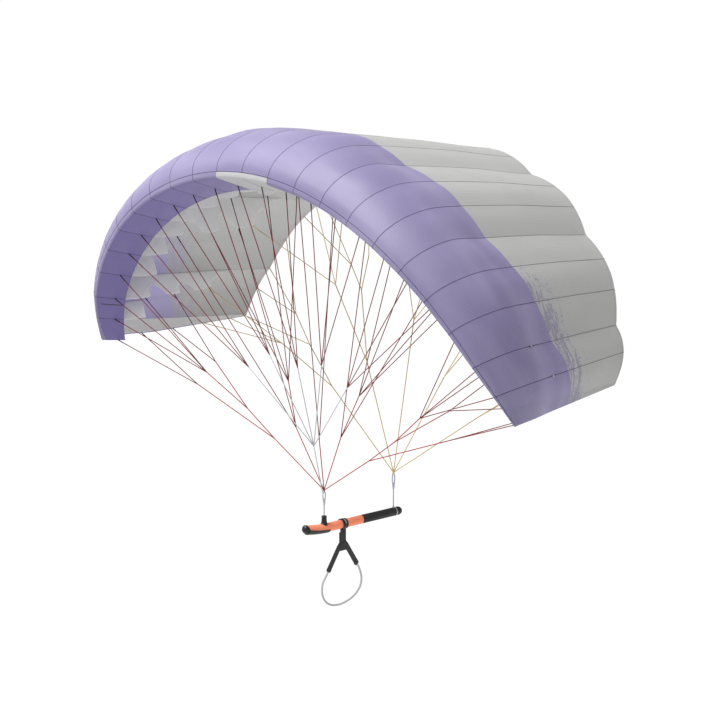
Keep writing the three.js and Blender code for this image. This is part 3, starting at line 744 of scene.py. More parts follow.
class Bench:
    """Hand tools on the active object. Sizes are in mm."""

    @staticmethod
    def take(piece: Object) -> None:
        """Select one piece alone."""
        bpy.ops.object.select_all(action="DESELECT")
        piece.select_set(True)
        bpy.context.view_layer.objects.active = piece

    @staticmethod
    def apply(piece: Object, kind: str, smooth: float, **settings: object) -> None:
        """Apply one modifier to a piece and shade it smooth.

        Args:
            piece: The object.
            kind: The modifier's type.
            smooth: Angle in degrees past which an edge stays sharp.
            **settings: Properties of the modifier.
        """
        Bench.take(piece)
        step = piece.modifiers.new(kind.lower(), kind)
        for key, setting in settings.items():
            setattr(step, key, setting)
        bpy.ops.object.modifier_apply(modifier=step.name)
        bpy.ops.object.shade_smooth_by_angle(angle=math.radians(smooth))

    @staticmethod
    def thicken(piece: Object, thickness: float) -> None:
        """Give a sheet its thickness, inwards."""
        Bench.apply(piece, "SOLIDIFY", 50.0, thickness=thickness * MM, offset=-1.0)

    @staticmethod
    def soften(piece: Object, width: float, angle: float = 40.0) -> None:
        """Round the sharp edges of a piece.

        Args:
            piece: The object.
            width: Width of the rounding.
            angle: Least turn of an edge that is rounded, in degrees.
        """
        limit = math.radians(angle)
        edges = {"limit_method": "ANGLE", "angle_limit": limit, "segments": 2}
        Bench.apply(piece, "BEVEL", angle, width=width * MM, **edges)

    @staticmethod
    def start(name: str) -> Object:
        """Name the new primitive and put its place into its mesh.

        Args:
            name: Name of the piece.

        Returns:
            The object.
        """
        piece = bpy.context.active_object
        piece.name = piece.data.name = name
        bpy.ops.object.transform_apply(location=True, rotation=True, scale=True)
        return piece

    @staticmethod
    def drum(
        name: str, radius: float, depth: float, place: Spot, sides: int, caps: str = "NGON", turn: float = 0.0
    ) -> Object:
        """Start a piece as a cylinder.

        Args:
            name: Name of the piece.
            radius: Its radius.
            depth: Its length.
            place: Its middle.
            sides: Sides round it.
            caps: How its ends are filled.
            turn: Turn about X, in radians.

        Returns:
            The object, with its place in its mesh.
        """
        bpy.ops.object.select_all(action="DESELECT")
        bpy.ops.mesh.primitive_cylinder_add(
            vertices=sides,
            radius=radius * MM,
            depth=depth * MM,
            end_fill_type=caps,
            location=[c * MM for c in place],
            rotation=(turn, 0, 0),
        )
        return Bench.start(name)

    @staticmethod
    def rod(name: str, radius: float, start: float, stop: float, open_ends: bool = False) -> Object:
        """Start a piece as a rod along the bar, between two places.

        Args:
            name: Name of the piece.
            radius: Its radius.
            start: Y of one end.
            stop: Y of the other end.
            open_ends: Whether it is a bare wall with more sides.

        Returns:
            The object, with its place in its mesh.
        """
        sides, caps = (64, "NOTHING") if open_ends else (48, "NGON")
        middle = (0, (start + stop) / 2, 0)
        return Bench.drum(name, radius, abs(stop - start), middle, sides, caps, math.pi / 2)

    @staticmethod
    def block(name: str, size: Vector, centre: Vector) -> Object:
        """Start a piece as a block of a size at a place.

        Args:
            name: Name of the piece.
            size: Its sides.
            centre: Its middle.

        Returns:
            The object, with its place in its mesh.
        """
        bpy.ops.object.select_all(action="DESELECT")
        bpy.ops.mesh.primitive_cube_add(size=1, location=centre * MM)
        bpy.context.active_object.scale = size * MM
        return Bench.start(name)

    @staticmethod
    @contextmanager
    def edit(piece: Object) -> Iterator[None]:
        """Open a piece in edit mode with nothing selected.

        Args:
            piece: The object.

        Yields:
            Nothing, while the piece is open.
        """
        Bench.take(piece)
        bpy.ops.object.mode_set(mode="EDIT")
        bpy.ops.mesh.select_mode(type="FACE")
        bpy.ops.mesh.select_all(action="DESELECT")
        yield
        bpy.ops.object.mode_set(mode="OBJECT")

    @staticmethod
    def pick(piece: Object, rule: Callable[[bmesh.types.BMFace], bool]) -> None:
        """Select the faces that a rule names, in edit mode.

        Args:
            piece: The object.
            rule: Says whether a face is wanted.
        """
        sketch = bmesh.from_edit_mesh(piece.data)
        for face in sketch.faces:
            face.select_set(rule(face))
        sketch.select_flush_mode()
        bmesh.update_edit_mesh(piece.data)

    @staticmethod
    def extrude(shift: Spot, scale: Spot = (1, 1, 1), centre: Spot = (0, 0, 0)) -> None:
        """Pull the selected faces out, then size them about a point.

        Args:
            shift: How far they go.
            scale: Their size after it, against before.
            centre: The point that stays.
        """
        bpy.ops.mesh.extrude_region_move(TRANSFORM_OT_translate={"value": [s * MM for s in shift]})
        if scale != (1, 1, 1):
            bpy.ops.transform.resize(value=scale, center_override=[c * MM for c in centre])

    @staticmethod
    def swell(amount: float) -> None:
        """Raise the selected band along its normals."""
        bpy.ops.mesh.extrude_region_shrink_fatten(TRANSFORM_OT_shrink_fatten={"value": amount * MM})

    @staticmethod
    def cut(point: Spot, normal: Spot, trim: bool = False) -> None:
        """Cut a piece by a plane in edit mode, and take away what lies beyond it if asked.

        Args:
            point: A point of the plane.
            normal: Its direction.
            trim: Whether the far side goes.
        """
        bpy.ops.mesh.select_all(action="SELECT")
        bpy.ops.mesh.bisect(plane_co=[c * MM for c in point], plane_no=normal, clear_outer=trim)
        bpy.ops.mesh.select_all(action="DESELECT")


class ProfileCurve:
    """A side profile that is followed by its own length."""

    SAMPLES = 400

    def __init__(self, knots: Sequence[Pair]) -> None:
        """Sample a uniform Catmull-Rom curve through knots of chord fraction and rise."""
        self.points = [self.spline(knots, k / self.SAMPLES) for k in range(self.SAMPLES + 1)]
        steps = (math.dist(a, b) for a, b in zip(self.points, self.points[1:]))
        self.lengths = list(accumulate(steps, initial=0.0))
        self.length = self.lengths[-1]

    @staticmethod
    def spline(knots: Sequence[Pair], share: float) -> Pair:
        """Point of the curve at a share of its knots.

        Args:
            knots: Pairs of chord fraction and rise.
            share: From 0 at the first knot to 1 at the last.

        Returns:
            Chord fraction and rise.
        """
        last = len(knots) - 1
        i = min(int(last * share), last - 1)
        t = last * share - i
        a, b, c, d = knots[max(i - 1, 0)], knots[i], knots[i + 1], knots[min(i + 2, last)]
        out = []
        for p0, p1, p2, p3 in zip(a, b, c, d):
            v0, v1 = (p2 - p0) / 2, (p3 - p1) / 2
            cube, square = 2 * p1 - 2 * p2 + v0 + v1, 3 * p2 - 3 * p1 - 2 * v0 - v1
            out.append(cube * t**3 + square * t**2 + v0 * t + p1)
        return out[0], out[1]

    def place(self, share: float) -> Pair:
        """Chord fraction and rise at a share of the length.

        Args:
            share: From 0 at the nose to 1 at the end.

        Returns:
            Chord fraction and rise.
        """
        target = min(max(share, 0.0), 1.0) * self.length
        i = min(max(bisect.bisect_right(self.lengths, target) - 1, 0), self.SAMPLES - 1)
        t = (target - self.lengths[i]) / (self.lengths[i + 1] - self.lengths[i])
        (x0, y0), (x1, y1) = self.points[i], self.points[i + 1]
        return x0 + (x1 - x0) * t, y0 + (y1 - y0) * t

    def slope(self, share: float) -> Pair:
        """Direction at a share of the length."""
        (x0, y0), (x1, y1) = self.place(max(share - 1e-3, 0)), self.place(min(share + 1e-3, 1))
        size = math.hypot(x1 - x0, y1 - y0)
        return (x1 - x0) / size, (y1 - y0) / size

    def share_at(self, along: float) -> float:
        """Share of the length where the chord fraction is given.

        Args:
            along: Chord fraction.

        Returns:
            The share, from 0 to 1.
        """
        low, high = 0.0, 1.0
        for _ in range(30):
            middle = (low + high) / 2
            low, high = (middle, high) if self.place(middle)[0] < along else (low, middle)
        return (low + high) / 2


@dataclass(frozen=True)
class RibFrame:
    """The plane of a rib: nose point, chord direction, height direction and chord length, in mm."""

    nose: Vector
    chord: Vector
    up: Vector
    length: float

    def point(self, along: float, rise: float) -> Vector:
        """A place in the plane, in metres."""
        return (self.nose + self.chord * along + self.up * rise) * MM


@dataclass
class WingPlan:
    """Sizes of the canopy in mm. Stations count cells from the centre, and are below 0 on the left."""

    tip: float = 11.0
    gores: tuple[float, ...] = (-11, -9, -6, -3, 0, 3, 6, 9, 11)
    cell_angle: float = 6.6
    tip_cell_angle: float = 5.5
    tip_cells_from: float = 9.0
    cell_width: float = 130.0
    nose_half_width: float = 1170.0
    nose_rise: float = 1130.0
    nose_top: float = 1332.0
    nose_front: float = -528.0
    nose_sweep: float = 222.0
    tail_half_width: float = 1085.0
    tail_toe_in: float = 45.0
    tail_rise: float = 1090.0
    tail_base: float = 257.0
    tail_tip_drop: float = 9.0
    tail_back: float = 585.0
    tail_forward: float = 252.0
    bulge: float = 20.0
    scallop: float = 14.0
    billow: float = 3.4
    crown: float = 8.0
    crease: float = 0.05
    front_crease: float = 0.4
    front_crease_run: Pair = (0.1, 0.3)
    tail_crease: float = 0.3
    tail_crease_run: Pair = (0.8, 1.0)
    gore_run: Pair = (0.1, 0.38)
    bulge_run: Pair = (0.0, 0.22)
    cell_run: Pair = (0.0, 0.15)
    cell_flat: float = 0.8
    cell_flat_run: Pair = (0.6, 1.0)
    crown_span: Pair = (0.3, 3.0)
    crown_rise: Pair = (0.04, 0.24)
    crown_fall: Pair = (0.3, 0.6)
    camber_fade: float = 1.1
    colour_seam: float = 0.352
    colour_seam_tip: float = 0.185
    colour_seam_power: float = 3.8
    lip_tip_fade: float = 0.2
    lip_setback: float = 11.0
    lip_tip_setback: float = 10.0
    lip_end: float = 0.135
    pucker_height: float = 0.45
    pucker_pitches: Pair = (31.0, 17.5)
    pucker_reach: float = 16.0
    tacks: tuple[Pair, ...] = ((9.0, 0.275), (10.0, 0.35))
    tack_pull: float = 3.2
    tack_reach: float = 15.0
    tack_chord: float = 900.0
    skin: ProfileCurve = field(
        default_factory=lambda: ProfileCurve(
            [(0, 0), (0.012, 0.04), (0.045, 0.074), (0.1, 0.097), (0.2, 0.107), (0.32, 0.101)]
            + [(0.5, 0.08), (0.7, 0.052), (0.88, 0.02), (1, 0)]
        )
    )
    lip: ProfileCurve = field(
        default_factory=lambda: ProfileCurve(
            [(0, 0), (0.0005, -0.0065), (0.008, -0.013), (0.03, -0.0215), (0.08, -0.0405), (0.135, -0.06)]
        )
    )
    frames: dict[float, RibFrame] = field(default_factory=dict)

    def ribs(self) -> list[float]:
        """Stations of the ribs."""
        return [float(s) for s in range(int(1 - self.tip), int(self.tip))]

    def angle(self, station: float) -> float:
        """Angle of a station round the arch, in radians.

        Args:
            station: Place along the span.

        Returns:
            The angle, below 0 on the left.
        """
        cells = abs(station)
        degrees = self.cell_angle * min(cells, self.tip_cells_from)
        degrees += self.tip_cell_angle * max(cells - self.tip_cells_from, 0)
        return math.copysign(math.radians(degrees), station)

    def tip_share(self, station: float, power: float) -> float:
        """How near a station is to the tip, raised to a power."""
        return (abs(station) / self.tip) ** power

    def gore_height(self, station: float, cusp: float = 1.0) -> float:
        """0 on the ribs that carry lines, 1 in the middle between them.

        Args:
            station: Place along the span.
            cusp: 1 for a crease on those ribs, 0 for a soft dip.

        Returns:
            The share of the bulge.
        """
        at = min(abs(station), self.tip)
        edges = [g for g in self.gores if g >= 0]
        high = next(g for g in edges if g > 0 and g >= at - 1e-9)
        low = edges[edges.index(high) - 1]
        return self.arch((at - low) / (high - low), cusp)

    def cell_height(self, station: float, cusp: float = 1.0) -> float:
        """0 on the ribs, 1 in the middle of a cell."""
        return self.arch(abs(station) % 1, cusp)

    @staticmethod
    def arch(share: float, cusp: float) -> float:
        """An arch over 0 to 1 that is creased or soft at its feet."""
        return cusp * 4 * share * (1 - share) + (1 - cusp) * math.sin(math.pi * share) ** 2

    def camber(self, station: float) -> float:
        """Share of the full profile height at a station."""
        return 1 - self.camber_fade * self.tip_share(station, 10)

    def frame(self, station: float) -> RibFrame:
        """Rib plane of a station, made when it is first asked for.

        Args:
            station: Place along the span.

        Returns:
            The plane, with its chord.
        """
        if station not in self.frames:
            angle = self.angle(station)
            sine, cosine = math.sin(angle), math.cos(angle)
            nose_y = self.nose_front + self.nose_sweep * self.tip_share(station, 3)
            nose_z = self.nose_top - self.nose_rise * (1 - cosine)
            nose = Vector((self.nose_half_width * sine, nose_y, nose_z))
            tail_half = self.tail_half_width - self.tail_toe_in * self.tip_share(station, 4)
            tail_y = self.tail_back - self.tail_forward * self.tip_share(station, 1.8)
            drop = self.tail_tip_drop * self.tip_share(station, 6)
            tail = Vector((tail_half * sine, tail_y, self.tail_base + self.tail_rise * cosine - drop))
            length = (tail - nose).length
            chord = (tail - nose).normalized()
            up = Vector((sine, 0, cosine))
            up = (up - chord * up.dot(chord)).normalized()
            self.frames[station] = RibFrame(nose, chord, up, length)
        return self.frames[station]

    def pucker(self, station: float, along: float) -> float:
        """Small gathers of the cloth beside a seam.

        Args:
            station: Place along the span.
            along: Distance along the chord in mm.

        Returns:
            Height to add to the skin, in mm.
        """
        rib = round(station)
        apart = abs(station - rib) * self.cell_width
        start = scatter(rib + 0.37)
        long, short = (2 * math.pi * along / pitch for pitch in self.pucker_pitches)
        wave = math.sin(long + 2 * math.pi * start) + 0.6 * math.sin(short + 6 * math.pi * start)
        return self.pucker_height * wave * math.exp(-apart / self.pucker_reach) * ease(apart, 0.0, 4.0)

    def dimple(self, station: float, along: float) -> float:
        """Pull of the tacks near the tips, in mm."""
        cells = abs(station)
        away = [((cells - rib) * self.cell_width, (along - at) * self.tack_chord) for rib, at in self.tacks]
        return self.tack_pull * math.exp(-((min(math.hypot(*gap) for gap in away) / self.tack_reach) ** 2))

    def skin_place(self, station: float, share: float, depth: float, fine: bool = False) -> Pair:
        """Place of the skin in its rib plane.

        Args:
            station: Place along the span.
            share: Share of the profile's length.
            depth: Distance into the wing, in mm.
            fine: Whether the small gathers are added.

        Returns:
            Distance along the chord and height over it, in mm.
        """
        length, camber = self.frame(station).length, self.camber(station)
        x, y = self.skin.place(share)
        run, climb = self.skin.slope(share)
        climb *= camber
        size = math.hypot(run, climb)
        cusp = self.crease + self.front_crease * ease(x, *self.front_crease_run)
        cusp += self.tail_crease * ease(x, *self.tail_crease_run)
        gore = 1 - (1 - self.gore_height(station, cusp)) * ease(x, *self.gore_run)
        cell = self.cell_height(station, 0.5) * ease(x, *self.cell_run)
        cell *= 1 - self.cell_flat * ease(x, *self.cell_flat_run)
        middle = (1 - ease(abs(station), *self.crown_span)) * ease(x, *self.crown_rise)
        middle *= 1 - ease(x, *self.crown_fall)
        along = x * length + self.scallop * self.gore_height(station) * x**3
        rise = y * camber * length + self.bulge * gore * ease(x, *self.bulge_run)
        rise += self.billow * cell + self.crown * middle
        if fine:
            gather = self.pucker(station, share * length * self.skin.length)
            depth += self.dimple(station, x) - gather
        return along + climb / size * depth, rise - run / size * depth

    def skin_point(self, station: float, share: float, depth: float = 0.0, fine: bool = False) -> Vector:
        """A point of the skin in metres."""
        return self.frame(station).point(*self.skin_place(station, share, depth, fine))

    def lip_place(self, station: float, share: float, depth: float) -> Pair:
        """Place of the lower nose lip in its rib plane, in mm.

        Args:
            station: Place along the span.
            share: Share of the lip's length.
            depth: Distance into the wing.

        Returns:
            Distance along the chord and height over it.
        """
        length = self.frame(station).length
        fade = 1 - self.lip_tip_fade * self.tip_share(station, 8)
        x, y = self.lip.place(share)
        run, climb = self.lip.slope(share)
        climb *= fade
        size = math.hypot(run, climb)
        return x * length - climb / size * depth, y * fade * length + run / size * depth

    def lip_point(self, station: float, share: float, depth: float = 0.0) -> Vector:
        """A point of the lip in metres."""
        return self.frame(station).point(*self.lip_place(station, share, depth))

    def seam_share(self, station: float) -> float:
        """Share of the profile where the purple cloth ends."""
        return self.skin.share_at(self.colour_end(station))

    def colour_end(self, station: float) -> float:
        """Chord fraction where the purple cloth ends."""
        return self.colour_seam + self.colour_seam_tip * self.tip_share(station, self.colour_seam_power)

    def lip_start(self, station: float) -> float:
        """Share of the lip that its seam takes up."""
        setback = self.lip_setback + self.lip_tip_setback * (1 - self.camber(station)) ** 2
        return setback / (self.lip.length * self.frame(station).length)

    def skin_out(self, station: float, share: float, reach: float = 0.1, step: float = 0.01) -> Vector:
        """Direction out of the skin's outer face.

        Args:
            station: Place along the span.
            share: Share of the profile's length.
            reach: How far along the span it looks.
            step: How far along the profile it looks.

        Returns:
            The direction, of length 1.
        """
        ahead = self.skin_point(station, min(share + step, 1))
        behind = self.skin_point(station, max(share - step, 0))
        right = self.skin_point(min(station + reach, self.tip), share)
        left = self.skin_point(max(station - reach, -self.tip), share)
        return (right - left).cross(ahead - behind).normalized()

    def lip_out(self, station: float, share: float) -> Vector:
        """Direction out of the lip's outer face."""
        return (self.lip_point(station, share) - self.lip_point(station, share, 1.0)).normalized()


@dataclass
class Canopy:
    """Skin, lips and seams of the wing."""

    plan: WingPlan
    wardrobe: Wardrobe
    cloth: float = 1.2
    edge_gap: float = 0.0012
    colour_gap: float = 0.0003
    columns: int = 10
    nose_rows: int = 34
    main_rows: int = 36
    lip_rows: int = 14
    lip_belly: float = 2.5
    nose_tuck: Spot = (0.98, 0.7, 0.35)
    lap_over: tuple[float, ...] = (1, 0.7, 0.4, 0.1)
    lap_under: Spot = (0.3, 0.7, 1.0)
    take_up: float = 0.95
    fade_share: float = 0.85
    fade_from: Pair = (6.2, 8.6)
    fade_run: Pair = (0.03, 0.23)
    insert: float = 1.0
    seam_half: float = 1.3
    seam_height: float = 0.6
    hem_height: float = 0.5
    hem_at: float = 0.988
    hem_end: float = 0.02
    nose_seam: float = 0.0085
    edge_seam: float = 0.01
    lap: float = 1.5
    # Painted light: a pale sheet inside the tip cells stands in for the light seen there.
    lit_sheet: Pair = (10.42, 10.96)
    lit_sheet_run: Pair = (0.03, 0.985)
    lit_sheet_taper: float = 0.93
    lit_sheet_depth: float = 2.2
    # Pale tack beads: real tacks, made large enough to paint the highlights on their dimples.
    tack: tuple[Pair, ...] = ((0, 0.8), (0.7, 4.6), (1.3, 3.6), (1.7, 0.6))
    tape_at: float = 9.3
    tape_run: Pair = (0.22, 0.93)
    tape_half: float = 2.3
    tape_height: float = 0.5

    def stations(self, start: float, stop: float) -> list[float]:
        """Columns of a panel, clear of its neighbours."""
        count = int(round(abs(stop - start))) * self.columns
        return self.spread(start + self.edge_gap, stop - self.edge_gap, count)

    @staticmethod
    def spread(low: float, high: float, count: int, power: float = 1.0) -> list[float]:
        """Steps from one number to another, closer at the start for a power over 1."""
        return [low + (high - low) * (j / count) ** power for j in range(count + 1)]

    def cut(self, station: float, share: float) -> Pair:
        """Cut map of the skin in metres."""
        across = self.plan.angle(station) * self.plan.nose_rise * MM
        return across, share * self.plan.skin.length * self.take_up

    def lip_cut(self, station: float, share: float) -> Pair:
        """Cut map of the lip in metres."""
        return self.plan.angle(station) * self.plan.nose_rise * MM, -share * self.plan.lip.length

    def fade(self, station: float, along: float) -> float:
        """How much of the print is on the main cloth behind its seam, from 0 to 1."""
        behind = along - self.plan.colour_end(station)
        near = ease(abs(station), *self.fade_from)
        return self.fade_share * near * (1 - ease(behind, *self.fade_run))

    def build_skin(self) -> None:
        """Sew the nose and main panels, one of each for every gore."""
        for number, (start, stop) in enumerate(zip(self.plan.gores, self.plan.gores[1:]), 1):
            stations = self.stations(start, stop)
            self.build_nose_panel(number, stations)
            self.build_main_panel(number, stations)

    def build_nose_panel(self, number: int, stations: Sequence[float]) -> None:
        """Make one purple panel over the nose, tucked a little under it.

        Args:
            number: Its number from the left.
            stations: Its columns.
        """
        grid = SheetGrid(f"nose_cloth_{number}")
        for s in stations:
            shares = self.spread(0, self.plan.seam_share(s), self.nose_rows, 1.4)
            under = [self.plan.lip_start(s) * part for part in self.nose_tuck]
            points = [self.plan.lip_point(s, u) for u in under]
            points += [self.plan.skin_point(s, t, fine=True) for t in shares]
            grid.column(points, [self.lip_cut(s, u) for u in under] + [self.cut(s, t) for t in shares])
        grid.sew(self.cloth, self.wardrobe.purple, Slot.PURPLE, "front_lines", f"nose_panel_{number}")

    def build_main_panel(self, number: int, stations: Sequence[float]) -> None:
        """Make one grey panel back to the trailing edge.

        Args:
            number: Its number from the left.
            stations: Its columns.
        """
        grid = SheetGrid(f"main_cloth_{number}")
        for s in stations:
            shares = self.spread(self.plan.seam_share(s) + self.colour_gap, 1, self.main_rows)
            grid.column(
                [self.plan.skin_point(s, t, fine=True) for t in shares],
                [self.cut(s, t) for t in shares],
                [self.fade(s, self.plan.skin.place(t)[0]) for t in shares],
            )
        grid.sew(self.cloth, self.wardrobe.grey, Slot.GREY, "rear_lines", f"main_panel_{number}")

    def lip_cloth(self, station: float, share: float) -> Vector:
        """A point of the lip where it bellies out between its seams."""
        belly = self.lip_belly * self.plan.cell_height(station) * math.sin(math.pi * min(share, 1))
        return self.plan.lip_point(station, share, -belly)

    def build_lips(self) -> None:
        """Make the lower nose: two purple lips and the pale insert between them."""
        # The purple lips take the darker lip finish, which is painted shade.
        purple, pale = (self.wardrobe.lip, Slot.PURPLE), (self.wardrobe.white, Slot.WHITE)
        self.build_lip("left", -self.plan.tip, -self.insert, *purple)
        self.build_lip("centre", -self.insert, self.insert, *pale)
        self.build_lip("right", self.insert, self.plan.tip, *purple)

    def build_lip(self, side: str, start: float, stop: float, finish: Material, slot: Slot) -> None:
        """Make one part of the lower nose. The one in the centre laps over the nose panels.

        Args:
            side: Which part it is.
            start: Station of one end.
            stop: Station of the other end.
            finish: Its material.
            slot: The record's slot.
        """
        grid = SheetGrid(f"lip_cloth_{side}", reverse=True)
        for s in self.stations(start, stop):
            low = self.plan.lip_start(s)
            shares = self.spread(low, 1, self.lip_rows)
            points = [self.lip_cloth(s, t) for t in shares]
            cuts = [self.lip_cut(s, t) for t in shares]
            if side == "centre":
                over = [self.nose_seam * part for part in self.lap_over]
                under = [low * part for part in self.lap_under]
                edge = [self.plan.skin_point(s, t, -self.lap) for t in over]
                points[:1] = edge + [self.plan.lip_point(s, u, -self.lap) for u in under]
                cuts[:1] = [self.cut(s, t) for t in over] + [self.lip_cut(s, u) for u in under]
            grid.column(points, cuts)
        grid.sew(self.cloth, finish, slot, "nose_lines", f"lip_{side}")

    def build_lit_sheets(self) -> None:
        """Lay a pale sheet inside the two tip cells, as painted light on the inside of the tips."""
        first, last = self.lit_sheet_run
        shares = self.spread(self.plan.skin.share_at(first), last, self.main_rows)
        inner, outer = self.lit_sheet
        for side, sign in (("left", -1), ("right", 1)):
            grid = SheetGrid(f"tip_lit_sheet_{side}", reverse=sign < 0)
            for i in range(self.columns + 1):
                wide = (outer - inner) * (1 - i / self.columns)
                places = [(sign * (outer - wide * (1 - self.lit_sheet_taper * t)), t) for t in shares]
                points = [self.plan.skin_point(s, t, self.lit_sheet_depth) for s, t in places]
                grid.column(points, [self.cut(s, t) for s, t in places])
            grid.sew(self.cloth, self.wardrobe.rib, Slot.GREY, "front_lines")

    def build_seams(self) -> None:
        """Lay the felled seams on the ribs, and the seams along the nose and the trailing edge."""
        nose, main, lip, hem, edge = (MeshSketch() for _ in range(5))
        for s in self.plan.ribs():
            seam = self.plan.seam_share(s)
            self.lay(nose, [(s, t) for t in self.spread(0, seam, 40, 1.3)], self.seam_height)
            self.lay(main, [(s, t) for t in self.spread(seam, 1, 40)], self.seam_height)
            shares = self.spread(self.plan.lip_start(s) * 0.05, 1, 16, 1.5)
            path = [self.plan.lip_point(s, t) for t in shares]
            ups = [self.plan.lip_out(s, t) for t in shares]
            lip.ridge(path, ups, self.seam_half, self.seam_height)
        reach = self.plan.tip - self.hem_end
        across = self.spread(-reach, reach, int(2 * reach * self.columns))
        for sketch, share in ((hem, self.hem_at), (edge, self.edge_seam)):
            self.lay(sketch, [(s, share) for s in across], self.hem_height)
        purple, grey = (self.wardrobe.purple_seam, Slot.PURPLE), (self.wardrobe.grey_seam, Slot.GREY)
        settle(nose.build("nose_seams"), *purple)
        settle(main.build("main_seams"), *grey)
        settle(lip.build("lip_seams"), *purple)
        settle(hem.build("trailing_hem"), self.wardrobe.grey, Slot.GREY)
        settle(edge.build("nose_edge_seam"), *purple)

    def lay(self, sketch: MeshSketch, places: Sequence[Pair], height: float) -> None:
        """Lay one seam on the skin through places of station and share."""
        path = [self.plan.skin_point(s, t) for s, t in places]
        ups = [self.plan.skin_out(s, t) for s, t in places]
        sketch.ridge(path, ups, self.seam_half, height)

    def build_trims(self) -> None:
        """Sew the small pale tacks near the tips, sized up as painted highlights on their dimples, and a
        short dark tape on each lip.
        """
        tacks, tapes = MeshSketch(), MeshSketch()
        run = self.spread(*self.tape_run, 12)
        for side in (-1.0, 1.0):
            for rib, along in self.plan.tacks:
                at, share = side * rib, self.plan.skin.share_at(along)
                tacks.bead(self.plan.skin_point(at, share), self.plan.skin_out(at, share), self.tack)
            at = side * self.tape_at
            path, ups = [self.lip_cloth(at, t) for t in run], [self.plan.lip_out(at, t) for t in run]
            tapes.ridge(path, ups, self.tape_half, self.tape_height)
        settle(tacks.build("tip_tack_highlights"), self.wardrobe.white, Slot.WHITE)
        settle(tapes.build("lip_tapes"), self.wardrobe.webbing, Slot.WEBBING)

    def build(self) -> None:
        """Make the whole canopy."""
        self.build_skin()
        self.build_lips()
        self.build_lit_sheets()
        self.build_seams()
        self.build_trims()


@dataclass
class Ribs:
    """Ribs of pale cloth under the skin, with flares where lines are sewn on."""

    plan: WingPlan
    wardrobe: Wardrobe
    cloth: float = 0.9
    clearance: float = 1.4
    slack: float = 1.6
    slack_waves: float = 21.0
    slack_depth: Pair = (10, 80)
    steep: float = 0.03
    columns: int = 110
    rows: int = 8
    front: float = 0.004
    carrier_end: float = 0.8
    short_end: float = 0.32
    carriers: tuple[int, ...] = (-9, -6, -3, 0, 3, 6, 9)
    carrier_edge: tuple[Pair, ...] = (
        (0.15, -0.059), (0.238, -0.068), (0.27, -0.064), (0.297, -0.002), (0.328, 0.016),
        (0.35, -0.012), (0.362, -0.064), (0.397, -0.076), (0.434, -0.069), (0.46, -0.012),
        (0.485, 0.004), (0.506, -0.016), (0.518, -0.066), (0.53, -0.072), (0.602, -0.068),
        (0.65, -0.012), (0.72, 0.02),
    )  # fmt: skip
    short_edge: tuple[Pair, ...] = ((0.15, -0.059), (0.2, -0.066), (0.263, -0.067))

    def end(self, station: float) -> float:
        """Chord fraction where a rib ends."""
        return self.carrier_end if station in self.carriers else self.short_end

    def lower(self, station: float, along: float) -> float:
        """Height of a rib's lower edge.

        Args:
            station: The rib's station.
            along: Chord fraction.

        Returns:
            Height over the chord, in mm.
        """
        length, start, end = self.plan.frame(station).length, self.plan.lip_end, self.end(station)
        if along <= start:
            return self.plan.lip_place(station, self.plan.lip.share_at(along), self.clearance)[1]
        carrier = station in self.carriers
        first = self.plan.lip_place(station, 1.0, self.clearance)[1] / length
        edge = self.carrier_edge if carrier else self.short_edge
        knots = [(start, first), *edge, (end, self.upper(station, end) / length)]
        i = min(max(bisect.bisect_right([x for x, _ in knots], along) - 1, 0), len(knots) - 2)
        (x0, y0), (x1, y1) = knots[i], knots[i + 1]
        t = (along - x0) / (x1 - x0)
        if carrier and abs(y1 - y0) > self.steep:
            t = ease(t, 0.0, 1.0)
        return (y0 + (y1 - y0) * t) * length

    def upper(self, station: float, along: float) -> float:
        """Height of a rib's upper edge under the skin, in mm."""
        return self.plan.skin_place(station, self.plan.skin.share_at(along), self.clearance)[1]

    def build(self) -> None:
        """Make every rib."""
        for station in self.plan.ribs():
            self.build_rib(station)

    def build_rib(self, station: float) -> None:
        """Make one rib as a slightly slack sheet in its plane.

        Args:
            station: The rib's station.
        """
        frame = self.plan.frame(station)
        count = self.columns if station in self.carriers else self.columns // 2
        span = frame.chord.cross(frame.up)
        side = "left" if station < 0 else "right"
        tail = f"{side}_{abs(int(station))}" if station else "centre"
        grid = SheetGrid(f"rib_cloth_{tail}")
        for along in Canopy.spread(self.front, self.end(station) - 0.001, count, 1.15):
            low, high = self.lower(station, along), self.upper(station, along)
            waves = self.slack * math.sin(along * self.slack_waves + station)
            waves *= ease(high - low, *self.slack_depth)
            points, cuts = [], []
            for t in (j / self.rows for j in range(self.rows + 1)):
                place = (along * frame.length, low + (high - low) * t)
                points.append(frame.point(*place) + span * (waves * math.sin(math.pi * t) * MM))
                cuts.append((place[0] * MM, place[1] * MM))
            grid.column(points, cuts)
        grid.sew(self.cloth, self.wardrobe.rib, Slot.GREY, "front_lines", f"rib_{tail}")


@dataclass(frozen=True)
class Knot:
    """A knot of the bridle in mm, the knot below it, and the stations that its lines go to on each row."""

    below: str
    place: Spot
    ties: dict[Row, tuple[float, ...]] = field(default_factory=dict)

    def on(self, side: int) -> Vector:
        """Its place on the right side for 1 and on the left for -1, in metres."""
        x, y, z = self.place
        return Vector((x * side, y, z)) * MM

    def sides(self) -> tuple[int, ...]:
        """Sides that it is on."""
        return (1, -1) if self.place[0] else (1,)


